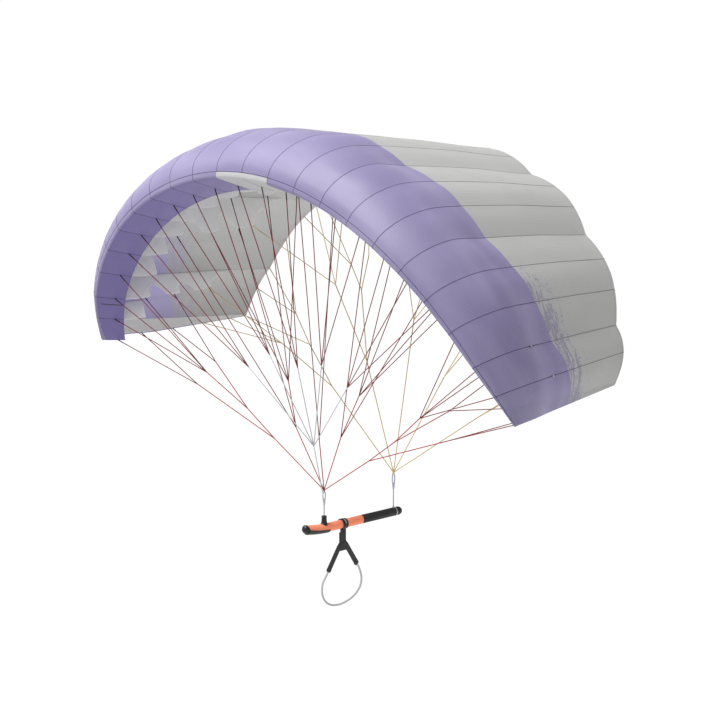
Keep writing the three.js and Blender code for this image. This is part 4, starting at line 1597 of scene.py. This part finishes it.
@dataclass
class Bridle:
    """Three nets of thin lines between the cloth and the bar, in mm."""

    plan: WingPlan
    wardrobe: Wardrobe
    radius: float = 1.7
    trunk: float = 1.85
    line_sides: int = 6
    tip_station: float = 10.985
    lip_row: float = 0.62
    lip_gap: float = 0.8
    edge_row: float = 0.999
    edge_gap: float = 1.8
    tip_gap: float = 2.0
    flare_gap: float = 0.3
    sleeve: tuple[Pair, ...] = ((32, 0.8), (29, 1.2), (2, 1.2), (0, 0.8))
    wrapping: tuple[Pair, ...] = (
        (-4.4, 0.7), (-4.0, 1.5), (-2.9, 1.9), (-1.8, 1.5), (-0.4, 2.1),
        (1.0, 1.6), (2.3, 2.0), (3.6, 1.5), (4.2, 0.7),
    )  # fmt: skip
    ring_wrapping: tuple[Pair, ...] = (
        (-3.2, 1.2), (-2.6, 2.6), (-1.2, 3.2), (0.4, 2.7), (1.8, 3.1), (3.2, 2.4), (4.2, 1.2),
    )  # fmt: skip
    rows: dict[Row, Pair] = field(
        default_factory=lambda: {
            Row.SECOND: (0.238, -0.068),
            Row.THIRD: (0.397, -0.076),
            Row.FOURTH: (0.531, -0.072),
            Row.FIFTH: (0.6, -0.068),
        }
    )
    front: dict[str, Knot] = field(
        default_factory=lambda: {
            "front_ring": Knot("", (0, -141, 143.2)),
            "outer_main": Knot("front_ring", (254, -157, 299)),
            "tip_fork": Knot("outer_main", (676, -174, 446), {Row.NOSE: (11,), Row.TIP: (0.27,)}),
            "outer_fork": Knot("outer_main", (395, -166, 393)),
            "outer_front": Knot("outer_fork", (570, -216, 513), {Row.NOSE: (10, 9, 8), Row.SECOND: (9,)}),
            "outer_back": Knot("outer_fork", (626, -126, 535), {Row.THIRD: (9,), Row.TIP: (0.48,)}),
            "inner_main": Knot("front_ring", (120, -169, 364), {Row.SECOND: (3, 6)}),
            "inner_back": Knot("inner_main", (189, -144, 524), {Row.THIRD: (3, 6), Row.FOURTH: (3, 6)}),
            "centre_main": Knot("front_ring", (0, -164, 336), {Row.SECOND: (0,), Row.THIRD: (0,)}),
        }
    )
    nose: dict[str, Knot] = field(
        default_factory=lambda: {
            "nose_ring": Knot("", (0, -148.8, 137)),
            "nose_main": Knot("nose_ring", (0, -191, 317)),
            "nose_outer": Knot("nose_main", (264, -272, 584), {Row.NOSE: (7, 6, 5)}),
            "nose_inner": Knot("nose_main", (139, -280, 648), {Row.NOSE: (4, 3, 2)}),
            "nose_centre": Knot("nose_main", (0, -268, 616), {Row.NOSE: (0, 1)}),
        }
    )
    rear: dict[str, Knot] = field(
        default_factory=lambda: {
            "rear_ring": Knot("", (0, 215, 151.7)),
            "rear_outer": Knot("rear_ring", (392, 264, 419)),
            "rear_tip": Knot("rear_outer", (647, 234, 558), {Row.TIP: (0.7, 0.89), Row.FIFTH: (9,)}),
            "rear_side": Knot("rear_outer", (581, 321, 551), {Row.EDGE: (11,)}),
            "rear_edge": Knot("rear_side", (704, 360, 653), {Row.EDGE: (10, 9, 8)}),
            "rear_inner": Knot("rear_ring", (206, 274, 540)),
            "rear_ribs": Knot("rear_inner", (398, 289, 814), {Row.FIFTH: (3, 6), Row.EDGE: (5,)}),
            "rear_middle": Knot("rear_inner", (363, 394, 787)),
            "rear_middle_out": Knot("rear_middle", (461, 432, 871), {Row.EDGE: (6, 7)}),
            "rear_middle_in": Knot("rear_middle", (392, 461, 910), {Row.EDGE: (4,)}),
            "rear_centre": Knot("rear_ring", (0, 320, 722), {Row.EDGE: (0, 3)}),
        }
    )

    def tie_point(self, row: Row, station: float, side: int) -> Vector:
        """Where a line meets the cloth, in metres.

        Args:
            row: The row of places.
            station: Rib station, or chord fraction on the tip row.
            side: 1 for the right side, -1 for the left.

        Returns:
            The point.
        """
        at = min(station, self.tip_station) * side
        if row is Row.NOSE:
            low = self.plan.lip_start(at)
            return self.plan.lip_point(at, low + (1 - low) * self.lip_row, -self.lip_gap)
        if row is Row.EDGE:
            return self.plan.skin_point(at, self.edge_row, self.edge_gap)
        if row is Row.TIP:
            share = self.plan.skin.share_at(station)
            return self.plan.skin_point(self.tip_station * side, share, self.tip_gap)
        frame = self.plan.frame(float(at))
        along, rise = self.rows[row]
        return frame.point(along * frame.length, rise * frame.length - self.flare_gap)

    def line(self, sketch: MeshSketch, low: Vector, high: Vector, radius: float) -> None:
        """Draw one straight line between two places."""
        sketch.tube([low.lerp(high, k / 4) for k in range(5)], radius, self.line_sides)

    def net(self, knots: dict[str, Knot], upper: int) -> MeshSketch:
        """Draw a net of lines, with a wrapped knot of three turns at each fork.

        Args:
            knots: Its knots by name.
            upper: Finish number of the lines to the cloth.

        Returns:
            The sketch of all of them.
        """
        sketch = MeshSketch()
        for knot in (knot for knot in knots.values() if knot.below):
            for side in knot.sides():
                low, high = knots[knot.below].on(side), knot.on(side)
                self.line(sketch, low, high, self.trunk)
                sketch.bead(high, high - low, self.wrapping, 8)
        ties = [(knot, row, at) for knot in knots.values() for row, ends in knot.ties.items() for at in ends]
        for knot, row, station in ties:
            for side in (1, -1) if station else knot.sides():
                low, high = knot.on(side), self.tie_point(row, station, side)
                ahead = (high - low).normalized()
                sketch.finish = upper
                self.line(sketch, low, high, self.radius)
                sketch.finish = upper + 1
                sleeve = [high - ahead * (at * MM) for at, _ in self.sleeve]
                sketch.tube(sleeve, [self.radius * size for _, size in self.sleeve], self.line_sides)
                sketch.finish = 0
        return sketch

    def build(self) -> None:
        """Make the three nets and the knots on the pigtails."""
        w = self.wardrobe
        red, silver = (w.red, w.dark_red, w.red_sleeve), (w.silver, w.dark_red, w.red_sleeve)
        for name, knots, upper, finishes, slot in (
            ("front", self.front, 1, red, Slot.RED_LINE),
            ("nose", self.nose, 1, silver, Slot.GREY_LINE),
            ("rear", self.rear, 0, (w.yellow, w.yellow), Slot.YELLOW_LINE),
        ):
            piece = self.net(knots, upper).build(f"{name}_net")
            for finish in finishes:
                piece.data.materials.append(finish)
            settle(piece, finishes[0], slot, f"{name}_lines")
        self.build_rings()

    def build_rings(self) -> None:
        """Tie the lines to the pigtails with a larger knot each."""
        for name, knots, size, finish, slot in (
            ("front_ring", self.front, 1.15, self.wardrobe.dark_red, Slot.RED_LINE),
            ("rear_ring", self.rear, 1.45, self.wardrobe.yellow, Slot.YELLOW_LINE),
        ):
            sketch = MeshSketch()
            profile = [(at * size, radius * size) for at, radius in self.ring_wrapping]
            sketch.bead(knots[name].on(1), Vector((0, 0, 1)), profile, 12)
            settle(sketch.build(f"{name}_knot"), finish, slot)


@dataclass
class Harness:
    """Strap, pocket, sleeves and rope loop under the bar, in mm."""

    wardrobe: Wardrobe
    rope_radius: float = 4.0
    rope_spans: int = 120
    strap_at: float = -47.0
    strap_width: float = 27.0
    strap_top: float = -20.3
    strap_bottom: float = -101.0
    strap_round: float = 0.6
    layer: float = 2.8
    layer_gap: float = 0.15
    back_top: float = -31.0
    back_shift: float = -2.2
    selvedge: float = 3.0
    selvedge_rise: float = 0.4
    pocket_width: float = 30.0
    pocket_thickness: float = 9.4
    pocket_top: float = -64.0
    pocket_bottom: float = -102.0
    pocket_rim: float = 0.78
    pocket_round: float = 1.2
    pocket_cuts: int = 8
    stitch_inset: float = 3.0
    stitch_half: float = 1.2
    stitch_rise: float = 0.1
    stitch_count: int = 9
    stitch_radii: Spot = (0.25, 0.45, 0.25)
    sleeve_half_width: float = 10.0
    sleeve_half_thickness: float = 4.3
    sleeve_spread: float = 15.0
    sleeve_top: float = -80.0
    sleeve_tuck: float = 13.0
    sleeve_sides: int = 24
    sleeve_edge: float = 0.55
    sleeve_shape: tuple[Spot, ...] = (
        (0.0, 0.42, 0.7), (0.05, 0.45, 0.86), (0.1, 0.5, 1.0), (0.15, 0.74, 1.0), (0.21, 0.92, 1.0),
        (0.3, 1.0, 1.0), (0.45, 1.0, 0.99), (0.6, 0.98, 0.99), (0.75, 1.0, 1.0), (0.9, 1.0, 1.0),
        (0.905, 1.07, 1.03), (0.965, 1.07, 1.03), (0.97, 1.0, 1.0), (0.992, 1.0, 1.0), (0.998, 0.9, 0.95),
    )  # fmt: skip
    route: tuple[Pair, ...] = (
        (-122, -171), (-125.1, -175.7), (-133, -186.5), (-144, -201), (-151, -217), (-153, -235),
        (-151, -253), (-144, -270), (-132, -285), (-115, -297), (-94, -304), (-70, -306.5),
        (-46, -305), (-22, -300), (0, -292), (19, -281), (34, -267), (44, -251),
        (48, -234), (47, -216), (42, -199), (34.5, -182), (28.1, -171.7), (25, -167),
    )  # fmt: skip

    def build_rope(self) -> None:
        """Hang the rope loop between the two sleeves."""
        path = smooth_path([Vector((0, y, z)) * MM for y, z in self.route], self.rope_spans)
        sketch = MeshSketch()
        sketch.tube(path, self.rope_radius, 12)
        piece = sketch.build("harness_rope_loop")
        settle(piece, self.wardrobe.rope, Slot.GREY_ROPE, "harness_rope")

    def build_strap(self) -> None:
        """Hang two layers of webbing, the back one set a little forward of the front one."""
        self.build_layer("strap_webbing", 1, self.strap_top, 0.0, "harness_strap")
        self.build_layer("strap_back_layer", -1, self.back_top, self.back_shift)

    def build_layer(self, name: str, face: int, top: float, shift: float, *nodes: str) -> None:
        """Shape one layer of webbing with thicker selvedges.

        Args:
            name: Name of the piece.
            face: 1 for the layer on the right, -1 on the left.
            top: Height of its upper end.
            shift: How far it is set along the bar.
            *nodes: CAD nodes that it stands for.
        """
        middle = self.strap_at + shift
        size = Vector((self.layer, self.strap_width, top - self.strap_bottom))
        out = face * (self.layer / 2 + self.layer_gap)
        piece = Bench.block(name, size, Vector((out, middle, (top + self.strap_bottom) / 2)))
        inner = self.strap_width / 2 - self.selvedge

        def on_selvedge(f: bmesh.types.BMFace) -> bool:
            """Whether a face is on the outer side, beside an edge."""
            return f.normal.x * face > 0.9 and abs(f.calc_center_median().y - middle * MM) > inner * MM

        with Bench.edit(piece):
            for y in (middle - inner, middle + inner):
                Bench.cut((0, y, 0), (0, 1, 0))
            Bench.pick(piece, on_selvedge)
            Bench.swell(self.selvedge_rise)
        Bench.soften(piece, self.strap_round)
        self.map_cut(piece)
        settle(piece, self.wardrobe.webbing, Slot.WEBBING, *nodes)

    def pocket_half(self, y: float, z: float) -> float:
        """Half the pocket's thickness at a place, full in the middle and thin at the rim.

        Args:
            y: Place along the bar.
            z: Height.

        Returns:
            The half thickness.
        """
        side = 1 - abs(y - self.strap_at) / (self.pocket_width / 2)
        height = self.pocket_top - self.pocket_bottom
        end = 1 - abs(z - (self.pocket_top + self.pocket_bottom) / 2) / (height / 2)
        full = ease(min(side, end), 0.0, 0.5)
        return self.pocket_thickness / 2 * (self.pocket_rim + (1 - self.pocket_rim) * full)

    def build_pocket(self) -> None:
        """Fold the pocket of webbing that the sleeves are sewn into."""
        size = Vector((self.pocket_thickness, self.pocket_width, self.pocket_top - self.pocket_bottom))
        centre = Vector((0, self.strap_at, (self.pocket_top + self.pocket_bottom) / 2))
        piece = Bench.block("strap_pocket", size, centre)
        with Bench.edit(piece):
            for share in (k / self.pocket_cuts for k in range(1, self.pocket_cuts)):
                Bench.cut((0, 0, self.pocket_top - share * size.z), (0, 0, 1))
                Bench.cut((0, self.strap_at + (share - 0.5) * size.y, 0), (0, 1, 0))
        for vert in piece.data.vertices:
            _, y, z = vert.co / MM
            vert.co.x = math.copysign(self.pocket_half(y, z) * MM, vert.co.x)
        Bench.soften(piece, self.pocket_round)
        self.map_cut(piece)
        settle(piece, self.wardrobe.webbing, Slot.WEBBING)

    @staticmethod
    def map_cut(piece: Object) -> None:
        """Give a piece a cut map along Y and Z, in metres."""
        layer = piece.data.uv_layers.get("cut") or piece.data.uv_layers.new(name="cut")
        for loop in piece.data.loops:
            layer.data[loop.index].uv = piece.data.vertices[loop.vertex_index].co.yz

    def build_stitches(self) -> None:
        """Sew round the rim of the pocket on both faces, with a second row below its top."""
        sketch = MeshSketch()
        wide = self.pocket_width / 2 - self.stitch_inset
        top, low = self.pocket_top - self.stitch_inset, self.pocket_bottom + self.stitch_inset
        runs = [((-wide, z), (wide, z)) for z in (top, top - self.stitch_inset, low)]
        runs += [((y, top), (y, low)) for y in (-wide, wide)]
        for face, (start, stop) in ((face, run) for face in (1, -1) for run in runs):
            step = Vector((0, stop[0] - start[0], stop[1] - start[1])).normalized() * self.stitch_half
            for k in range(self.stitch_count):
                y, z = (a + (b - a) * (k + 0.5) / self.stitch_count for a, b in zip(start, stop))
                half = self.pocket_half(self.strap_at + y, z) + self.stitch_rise
                middle = Vector((face * half, self.strap_at + y, z))
                bar = [(middle - step) * MM, middle * MM, (middle + step) * MM]
                sketch.tube(bar, self.stitch_radii, 5)
        settle(sketch.build("strap_stitches"), self.wardrobe.stitch, Slot.WEBBING)

    def build_sleeves(self) -> None:
        """Make the two flat webbing sleeves that run from the pocket to the rope."""
        for node, (y, z), sign in (("front_sleeve", self.route[0], -1), ("rear_sleeve", self.route[-1], 1)):
            foot = Vector((0, y, z)) * MM
            door = Vector((0, self.strap_at + sign * self.sleeve_spread, self.sleeve_top)) * MM
            ahead = (foot - door).normalized()
            top = door - ahead * (self.sleeve_tuck * MM)
            side = ahead.cross(Vector((1, 0, 0))).normalized()
            span = (foot - top).length
            rings = []
            for share, thick, wide in self.sleeve_shape:
                middle = top + ahead * (span * share)
                rings.append([middle + out for out in self.flat_ring(side, thick, wide)])
            sketch = MeshSketch()
            sketch.loft(rings, [span * share for share, _, _ in self.sleeve_shape])
            piece = sketch.build(f"{node}_tube")
            with Bench.edit(piece):
                bpy.ops.mesh.select_all(action="SELECT")
                bpy.ops.mesh.normals_make_consistent(inside=False)
            for loop in piece.data.uv_layers["cut"].data:
                loop.uv[0] *= 4 * self.sleeve_half_width * MM
            settle(piece, self.wardrobe.webbing, Slot.WEBBING, node)

    def flat_ring(self, side: Vector, thick: float, wide: float) -> list[Vector]:
        """Outline of a flat sleeve about its axis.

        Args:
            side: Direction across its width.
            thick: Share of its full thickness.
            wide: Share of its full width.

        Returns:
            Points of a rounded oblong, in metres.
        """
        ring = []
        for turn in (2 * math.pi * k / self.sleeve_sides for k in range(self.sleeve_sides)):
            waves = (math.cos(turn), math.sin(turn))
            flat, edge = (math.copysign(abs(c) ** self.sleeve_edge, c) for c in waves)
            deep, across = flat * thick * self.sleeve_half_thickness, edge * wide * self.sleeve_half_width
            ring.append((Vector((deep, 0, 0)) + side * across) * MM)
        return ring

    def build(self) -> None:
        """Make everything below the bar but the rope."""
        self.build_strap()
        self.build_pocket()
        self.build_stitches()
        self.build_sleeves()


@dataclass(frozen=True)
class Turned:
    """A turned piece of the bar, in mm. It is a tube if it has a wall, and a solid rod if not.

    Its grooves are bands from one place to another, with how far they stand out. A dome pulls its
    end out as far as a full dome would go, up to an angle, and a plug sinks the end inside a rim.
    """

    name: str
    finish: Material
    slot: Slot
    radius: float
    start: float
    stop: float
    edge: float
    nodes: tuple[str, ...] = ()
    rings: Sequence[float] = ()
    grooves: Sequence[Spot] = ()
    wall: float = 0.0
    trim: Optional[tuple[Spot, Spot]] = None
    dome: Optional[Pair] = None
    plug: Optional[Pair] = None


@dataclass
class ControlBar:
    """Grips, caps, collar, post and pigtails, in mm."""

    wardrobe: Wardrobe
    radius: float = 16.4
    front: float = -222.0
    tip: float = -246.0
    bend_from: float = -120.0
    bend: float = 0.00083
    bend_margin: float = 20.0
    bend_rings: int = 14
    join: float = 46.0
    joint_lean: float = 0.55
    rear_end: float = 217.7
    band: float = 5.0
    band_radius: float = 16.9
    end: float = 255.0
    end_round: float = 18.0
    nose_straight: float = 8.0
    tongue_front: float = 6.0
    tongue_back: float = -124.0
    tongue: float = 3.0
    tongue_drop: float = 6.5
    tongue_rings: int = 12
    dome_steps: int = 7
    collar_at: float = -47.0
    collar_half: float = 12.0
    collar_radius: float = 19.2
    collar_rim: float = 2.6
    collar_middle: float = 6.5
    collar_rise: float = 0.8
    clip_half: float = 3.0
    post_at: float = -141.0
    post_base: float = 13.5
    post_top: float = 47.0
    post_steps: tuple[Pair, ...] = (
        (2.5, 0.92), (3.5, 0.9), (5.0, 0.93), (8.0, 0.95), (5.5, 0.97), (0.8, 1.08), (3.7, 1.0), (1.5, 0.86),
    )  # fmt: skip
    saddle_top: float = 17.5
    saddle_foot: float = 14.0
    saddle_gap: float = 0.3
    saddle_edge: float = 1.2
    rear_tie: float = 215.0
    ferrule_steps: tuple[Pair, ...] = ((1.5, 0.74), (3.0, 0.95))
    pigtail: float = 2.4
    splice: tuple[Pair, ...] = ((-12, 2.3), (-9, 3.0), (-5, 3.8), (0, 4.6), (5, 5.1), (9, 5.0), (13, 3.6))
    eye: float = 6.4
    eye_shoulder: float = 0.75
    gap: float = 0.15

    def grips(self) -> list[Turned]:
        """The orange front grip and the black rear grip.

        Returns:
            The pieces in the order they are made.
        """
        join, rear, run = self.join, self.rear_end, self.bend_from - self.front + self.bend_margin
        front_grip = Turned(
            "front_grip", self.wardrobe.orange, Slot.ORANGE_GRIP, nodes=("bar_front_grip",),
            radius=self.radius, start=join - self.gap, stop=self.front, edge=0.6,
            rings=[self.front + run * k / self.bend_rings for k in range(1, self.bend_rings)],
            grooves=[(join - 2.6, join - 1.4, -0.4)],
        )  # fmt: skip
        rear_grip = Turned(
            "rear_grip", self.wardrobe.black_foam, Slot.BLACK_GRIP, nodes=("bar_rear_grip",),
            radius=self.radius, start=join + self.gap, stop=rear, edge=0.6,
            grooves=[(join + 1.4, join + 2.6, -0.4), (rear - 6.0, rear - 4.4, -0.5)],
        )  # fmt: skip
        return [front_grip, rear_grip]

    def ends(self) -> list[Turned]:
        """The band, the rear cap with its plug hole, and the nose cap with a tongue that thins out.

        Returns:
            The pieces in the order they are made.
        """
        black = (self.wardrobe.plastic, Slot.BLACK_PLASTIC)
        start = self.rear_end + self.gap
        middle, rear = start + self.band / 2, start + self.band + self.gap
        nose, tongue = self.front - self.nose_straight, self.front - self.tongue_front
        run, fall = self.tongue_back - tongue, self.tongue_drop / (self.tongue_back - self.front)
        end_band = Turned(
            "end_band", self.wardrobe.steel, Slot.STEEL, nodes=("bar_end_band",),
            radius=self.band_radius, start=start, stop=start + self.band, edge=0.5,
            grooves=[(middle - 0.6, middle + 0.6, -0.4)],
        )  # fmt: skip
        end_cap = Turned(
            "end_cap", *black, nodes=("bar_end_cap",),
            radius=self.radius, start=rear, stop=self.end - self.end_round, edge=0.5,
            grooves=[(rear + 3.0, rear + 4.4, -0.7)], dome=(self.end_round, 64.0), plug=(2.2, 3.0),
        )  # fmt: skip
        nose_cap = Turned(
            "nose_cap", *black, nodes=("bar_nose_cap",),
            radius=self.radius + 0.4, start=self.front - self.gap, stop=nose, edge=0.6,
            dome=(self.tip - nose, 85.0),
        )  # fmt: skip
        nose_tongue = Turned(
            "nose_tongue", *black,
            radius=self.radius + self.tongue, start=tongue, stop=self.tongue_back, edge=0.8,
            rings=[tongue + run * k / self.tongue_rings for k in range(1, self.tongue_rings)],
            wall=self.tongue - 0.4, trim=((0, self.front, 0), (0, fall, 1)),
        )  # fmt: skip
        return [end_band, end_cap, nose_cap, nose_tongue]

    def collar(self) -> list[Turned]:
        """The strap collar with its rims and a raised middle, and its steel clip.

        Returns:
            The pieces in the order they are made.
        """
        at, rim, middle, rise = self.collar_at, self.collar_rim, self.collar_middle, self.collar_rise
        low, high = at - self.collar_half, at + self.collar_half
        collar = Turned(
            "collar", self.wardrobe.plastic, Slot.BLACK_PLASTIC, nodes=("bar_collar",),
            radius=self.collar_radius, start=low, stop=high, edge=0.4,
            grooves=[(low, low + rim, rise), (at - middle, at + middle, rise), (high - rim, high, rise)],
            wall=self.collar_radius - self.radius - 0.3,
        )  # fmt: skip
        clip = Turned(
            "collar_clip", self.wardrobe.steel, Slot.STEEL,
            radius=self.collar_radius + 1.5, start=at - self.clip_half, stop=at + self.clip_half, edge=0.25,
            wall=0.8, trim=((0, 0, 6.0), (0, 0, -1)),
        )  # fmt: skip
        return [collar, clip]

    def turn(self, part: Turned) -> None:
        """Make one turned piece, and bend it along the bar's axis.

        Args:
            part: What it is.
        """
        piece = Bench.rod(part.name, part.radius, part.start, part.stop, open_ends=part.wall > 0)
        with Bench.edit(piece):
            for y in part.rings:
                Bench.cut((0, y, 0), (0, 1, 0))
            if part.dome:
                self.dome(piece, part.stop, *part.dome)
            if part.plug:
                rim, depth = part.plug
                bpy.ops.mesh.inset(thickness=rim * MM)
                Bench.extrude((0, -depth, 0))
            if part.trim:
                Bench.cut(*part.trim, trim=True)
            for groove in part.grooves:
                self.groove(piece, *groove)
        if not part.wall:
            self.slant(piece)
        self.follow(piece)
        if part.wall:
            Bench.thicken(piece, part.wall)
        Bench.soften(piece, part.edge)
        settle(piece, part.finish, part.slot, *part.nodes)

    def height(self, y: float) -> float:
        """Height of the bar's axis where its front end curves up."""
        return self.bend * (y - self.bend_from) ** 2 if y < self.bend_from else 0.0

    def follow(self, piece: Object) -> None:
        """Bend a straight piece along the bar's axis.

        Args:
            piece: The object.
        """
        for vert in piece.data.vertices:
            y = vert.co.y / MM
            if y < self.bend_from:
                slope = 2 * self.bend * (y - self.bend_from)
                turn = Matrix.Rotation(math.atan(slope), 3, "X")
                ring = turn @ Vector((vert.co.x, 0, vert.co.z))
                vert.co = Vector((0, y, self.height(y))) * MM + ring
        piece.data.update()

    def slant(self, piece: Object) -> None:
        """Lean the joint of the nose cap forward at its top.

        Args:
            piece: The object.
        """
        for vert in piece.data.vertices:
            reach = max(0.0, 1 - abs(vert.co.y / MM - self.front) / (self.front - self.tip))
            vert.co.y -= self.joint_lean * vert.co.z * reach
        piece.data.update()

    @staticmethod
    def groove(piece: Object, low: float, high: float, rise: float) -> None:
        """Raise or sink a band round a rod, in edit mode.

        Args:
            piece: The rod.
            low: Y where the band starts.
            high: Y where it stops.
            rise: How far it stands out, below 0 for a groove.
        """
        for y in (low, high):
            Bench.cut((0, y, 0), (0, 1, 0))
        Bench.pick(piece, lambda f: low * MM < f.calc_center_median().y < high * MM and abs(f.normal.y) < 0.5)
        Bench.swell(rise)

    def dome(self, piece: Object, start: float, reach: float, stop: float) -> None:
        """Round off the end of a rod by pulling its cap out in steps.

        Args:
            piece: The rod, in edit mode.
            start: Y of the cap.
            reach: How far a full dome would stand out, below 0 towards the front.
            stop: Angle where the dome ends in a flat, in degrees.
        """
        Bench.pick(piece, lambda f: f.normal.y * math.copysign(1, reach) > 0.9)
        angles = [math.radians(stop) * k / self.dome_steps for k in range(self.dome_steps + 1)]
        for before, after in zip(angles, angles[1:]):
            shift, size = math.sin(after) - math.sin(before), math.cos(after) / math.cos(before)
            at = start + reach * math.sin(after)
            Bench.extrude((0, reach * shift, 0), (size, 1, size), (0, at, 0))

    @staticmethod
    def stack(piece: Object, place: Spot, steps: Sequence[Pair], dish: Optional[Pair] = None) -> None:
        """Pull the top of a drum up in steps, and dish its last face inside a rim if asked.

        Args:
            piece: The drum.
            place: A point on its axis.
            steps: Pairs of rise and size.
            dish: Width of the rim and depth of the dish.
        """
        with Bench.edit(piece):
            Bench.pick(piece, lambda f: f.normal.z > 0.9)
            for rise, size in steps:
                Bench.extrude((0, 0, rise), (size, size, 1), place)
            if dish:
                bpy.ops.mesh.inset(thickness=dish[0] * MM)
                bpy.ops.transform.translate(value=(0, 0, -dish[1] * MM))

    def build_post(self) -> None:
        """Make the line post: a tapered bollard with a saddle foot and a lipped top."""
        place = (0, self.post_at, self.post_base)
        post = Bench.drum("post", radius=13.2, depth=6, place=place, sides=40)
        self.stack(post, place, self.post_steps, dish=(2.2, 1.2))
        self.saddle(post)
        Bench.soften(post, 0.5, angle=30)
        settle(post, self.wardrobe.plastic, Slot.BLACK_PLASTIC, "line_post")

    def saddle(self, post: Object) -> None:
        """Let the post's foot follow the round of the bar.

        Args:
            post: The object.
        """
        for vert in post.data.vertices:
            x, y, z = vert.co / MM
            if z < self.saddle_top:
                foot = self.height(y) + math.sqrt(max((self.radius + self.saddle_gap) ** 2 - x**2, 0))
                vert.co.z = MM * (foot if z < self.saddle_foot else max(z, foot + self.saddle_edge))
        post.data.update()

    def build_pigtails(self) -> None:
        """Make the two ropes with spliced loops that the lines hang on."""
        for name, y, low, splice, top in (
            ("front_pigtail", self.post_at, self.post_top - 1.0, 97.0, 140.0),
            ("rear_pigtail", self.rear_tie, self.radius - 0.4, 98.0, 148.5),
        ):
            sketch = MeshSketch()
            stem = [Vector((0, y, low + (splice - 6 - low) * k / 8)) * MM for k in range(9)]
            sketch.tube(stem, self.pigtail, 10)
            sketch.bead(Vector((0, y, splice)) * MM, Vector((0, 0, 1)), self.splice, 14)
            peak, shoulder = top - self.pigtail, self.eye * self.eye_shoulder
            half = [(1.8, splice + 3), (shoulder, splice + 14)]
            half += [(self.eye, (splice + peak) / 2 + 5), (shoulder, peak - 4)]
            outline = [(-dy, z) for dy, z in half] + [(0, peak)] + half[::-1]
            loop = smooth_path([Vector((0, y + dy, z)) * MM for dy, z in outline], 40)
            sketch.tube(loop, self.pigtail, 10)
            settle(sketch.build(f"{name}_rope"), self.wardrobe.pigtail, Slot.GREY_ROPE, name)

    def build_ferrule(self) -> None:
        """Make the small steel foot where the rear rope leaves the bar."""
        place = (0, self.rear_tie, self.radius)
        ferrule = Bench.drum("rope_ferrule", radius=4.6, depth=3, place=place, sides=24)
        self.stack(ferrule, place, self.ferrule_steps)
        Bench.soften(ferrule, 0.35)
        settle(ferrule, self.wardrobe.steel, Slot.STEEL)

    def build(self) -> None:
        """Make the whole bar."""
        for part in self.grips() + self.ends() + self.collar():
            self.turn(part)
        self.build_post()
        self.build_pigtails()
        self.build_ferrule()


@dataclass
class Studio:
    """Floor, light and camera."""

    eye: Spot = (6.43, -6.0694, 2.2967)
    right: Spot = (0.68886, 0.72489, 0.0)
    up: Spot = (-0.13571, 0.12896, 0.98232)
    lens: float = 122.5
    sensor: float = 36.0
    far: float = 400.0
    floor_at: float = -0.95
    floor_size: float = 160.0
    floor_tone: float = 0.05
    floor_glow: float = 0.98
    sky: float = 0.56
    key_from: Spot = (-3.0, -5.8, 11.2)
    key_aim: Spot = (0, 0, 0.9)
    key_size: float = 9.0
    key_power: float = 2300.0

    def build_camera(self) -> None:
        """Set the camera where the photograph was taken."""
        right, up = Vector(self.right).normalized(), Vector(self.up).normalized()
        back = right.cross(up).normalized()
        turn = Matrix((right, up, back)).transposed().to_4x4()
        data = bpy.data.cameras.new("view")
        data.sensor_width = self.sensor
        data.sensor_fit = "HORIZONTAL"
        data.lens = self.lens
        data.clip_end = self.far
        camera = bpy.data.objects.new("view", data)
        camera.matrix_world = Matrix.Translation(Vector(self.eye)) @ turn
        bpy.context.scene.collection.objects.link(camera)
        bpy.context.scene.camera = camera

    def build_light(self) -> None:
        """Hang one large soft light and a pale sky."""
        scene = bpy.context.scene
        world = bpy.data.worlds.new("pale_sky")
        world.use_nodes = True
        sky = world.node_tree.nodes["Background"]
        sky.inputs["Color"].default_value = WHITE
        sky.inputs["Strength"].default_value = self.sky
        scene.world = world
        data = bpy.data.lights.new("soft_key", "AREA")
        data.shape = "DISK"
        data.size = self.key_size
        data.energy = self.key_power
        key = bpy.data.objects.new("soft_key", data)
        place = Vector(self.key_from)
        aim = Vector(self.key_aim) - place
        key.matrix_world = Matrix.Translation(place) @ aim.to_track_quat("-Z", "Y").to_matrix().to_4x4()
        scene.collection.objects.link(key)
        scene.view_settings.view_transform = "Standard"

    def build_floor(self) -> None:
        """Lay the plain pale floor."""
        bpy.ops.object.select_all(action="DESELECT")
        bpy.ops.mesh.primitive_plane_add(size=self.floor_size, location=(0, 0, self.floor_at))
        floor = bpy.context.active_object
        floor.name = "floor"
        sheet = ShaderSheet("pale_floor")
        sheet.shader.inputs["Base Color"].default_value = (*[self.floor_tone] * 3, 1.0)
        sheet.shader.inputs["Emission Color"].default_value = WHITE
        sheet.fix(Roughness=0.9, Emission_Strength=self.floor_glow, Specular_IOR_Level=0.0)
        floor.data.materials.append(sheet.material)
        floor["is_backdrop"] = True

    def build(self) -> None:
        """Make the stage."""
        self.build_camera()
        self.build_light()
        self.build_floor()


def corners() -> list[list[float]]:
    """Box of what is shown, as plain lists."""
    return [[float(c) for c in corner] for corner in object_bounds()]


def main() -> None:
    """Build the wing on its frame."""
    logging.basicConfig(level=logging.INFO, format="%(message)s")
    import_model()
    Studio().build()
    wardrobe = Wardrobe()
    harness = Harness(wardrobe)
    harness.build_rope()
    plan = WingPlan()
    Canopy(plan, wardrobe).build()
    Ribs(plan, wardrobe).build()
    Bridle(plan, wardrobe).build()
    ControlBar(wardrobe).build()
    harness.build()
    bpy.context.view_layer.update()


if __name__ == "__main__":
    main()
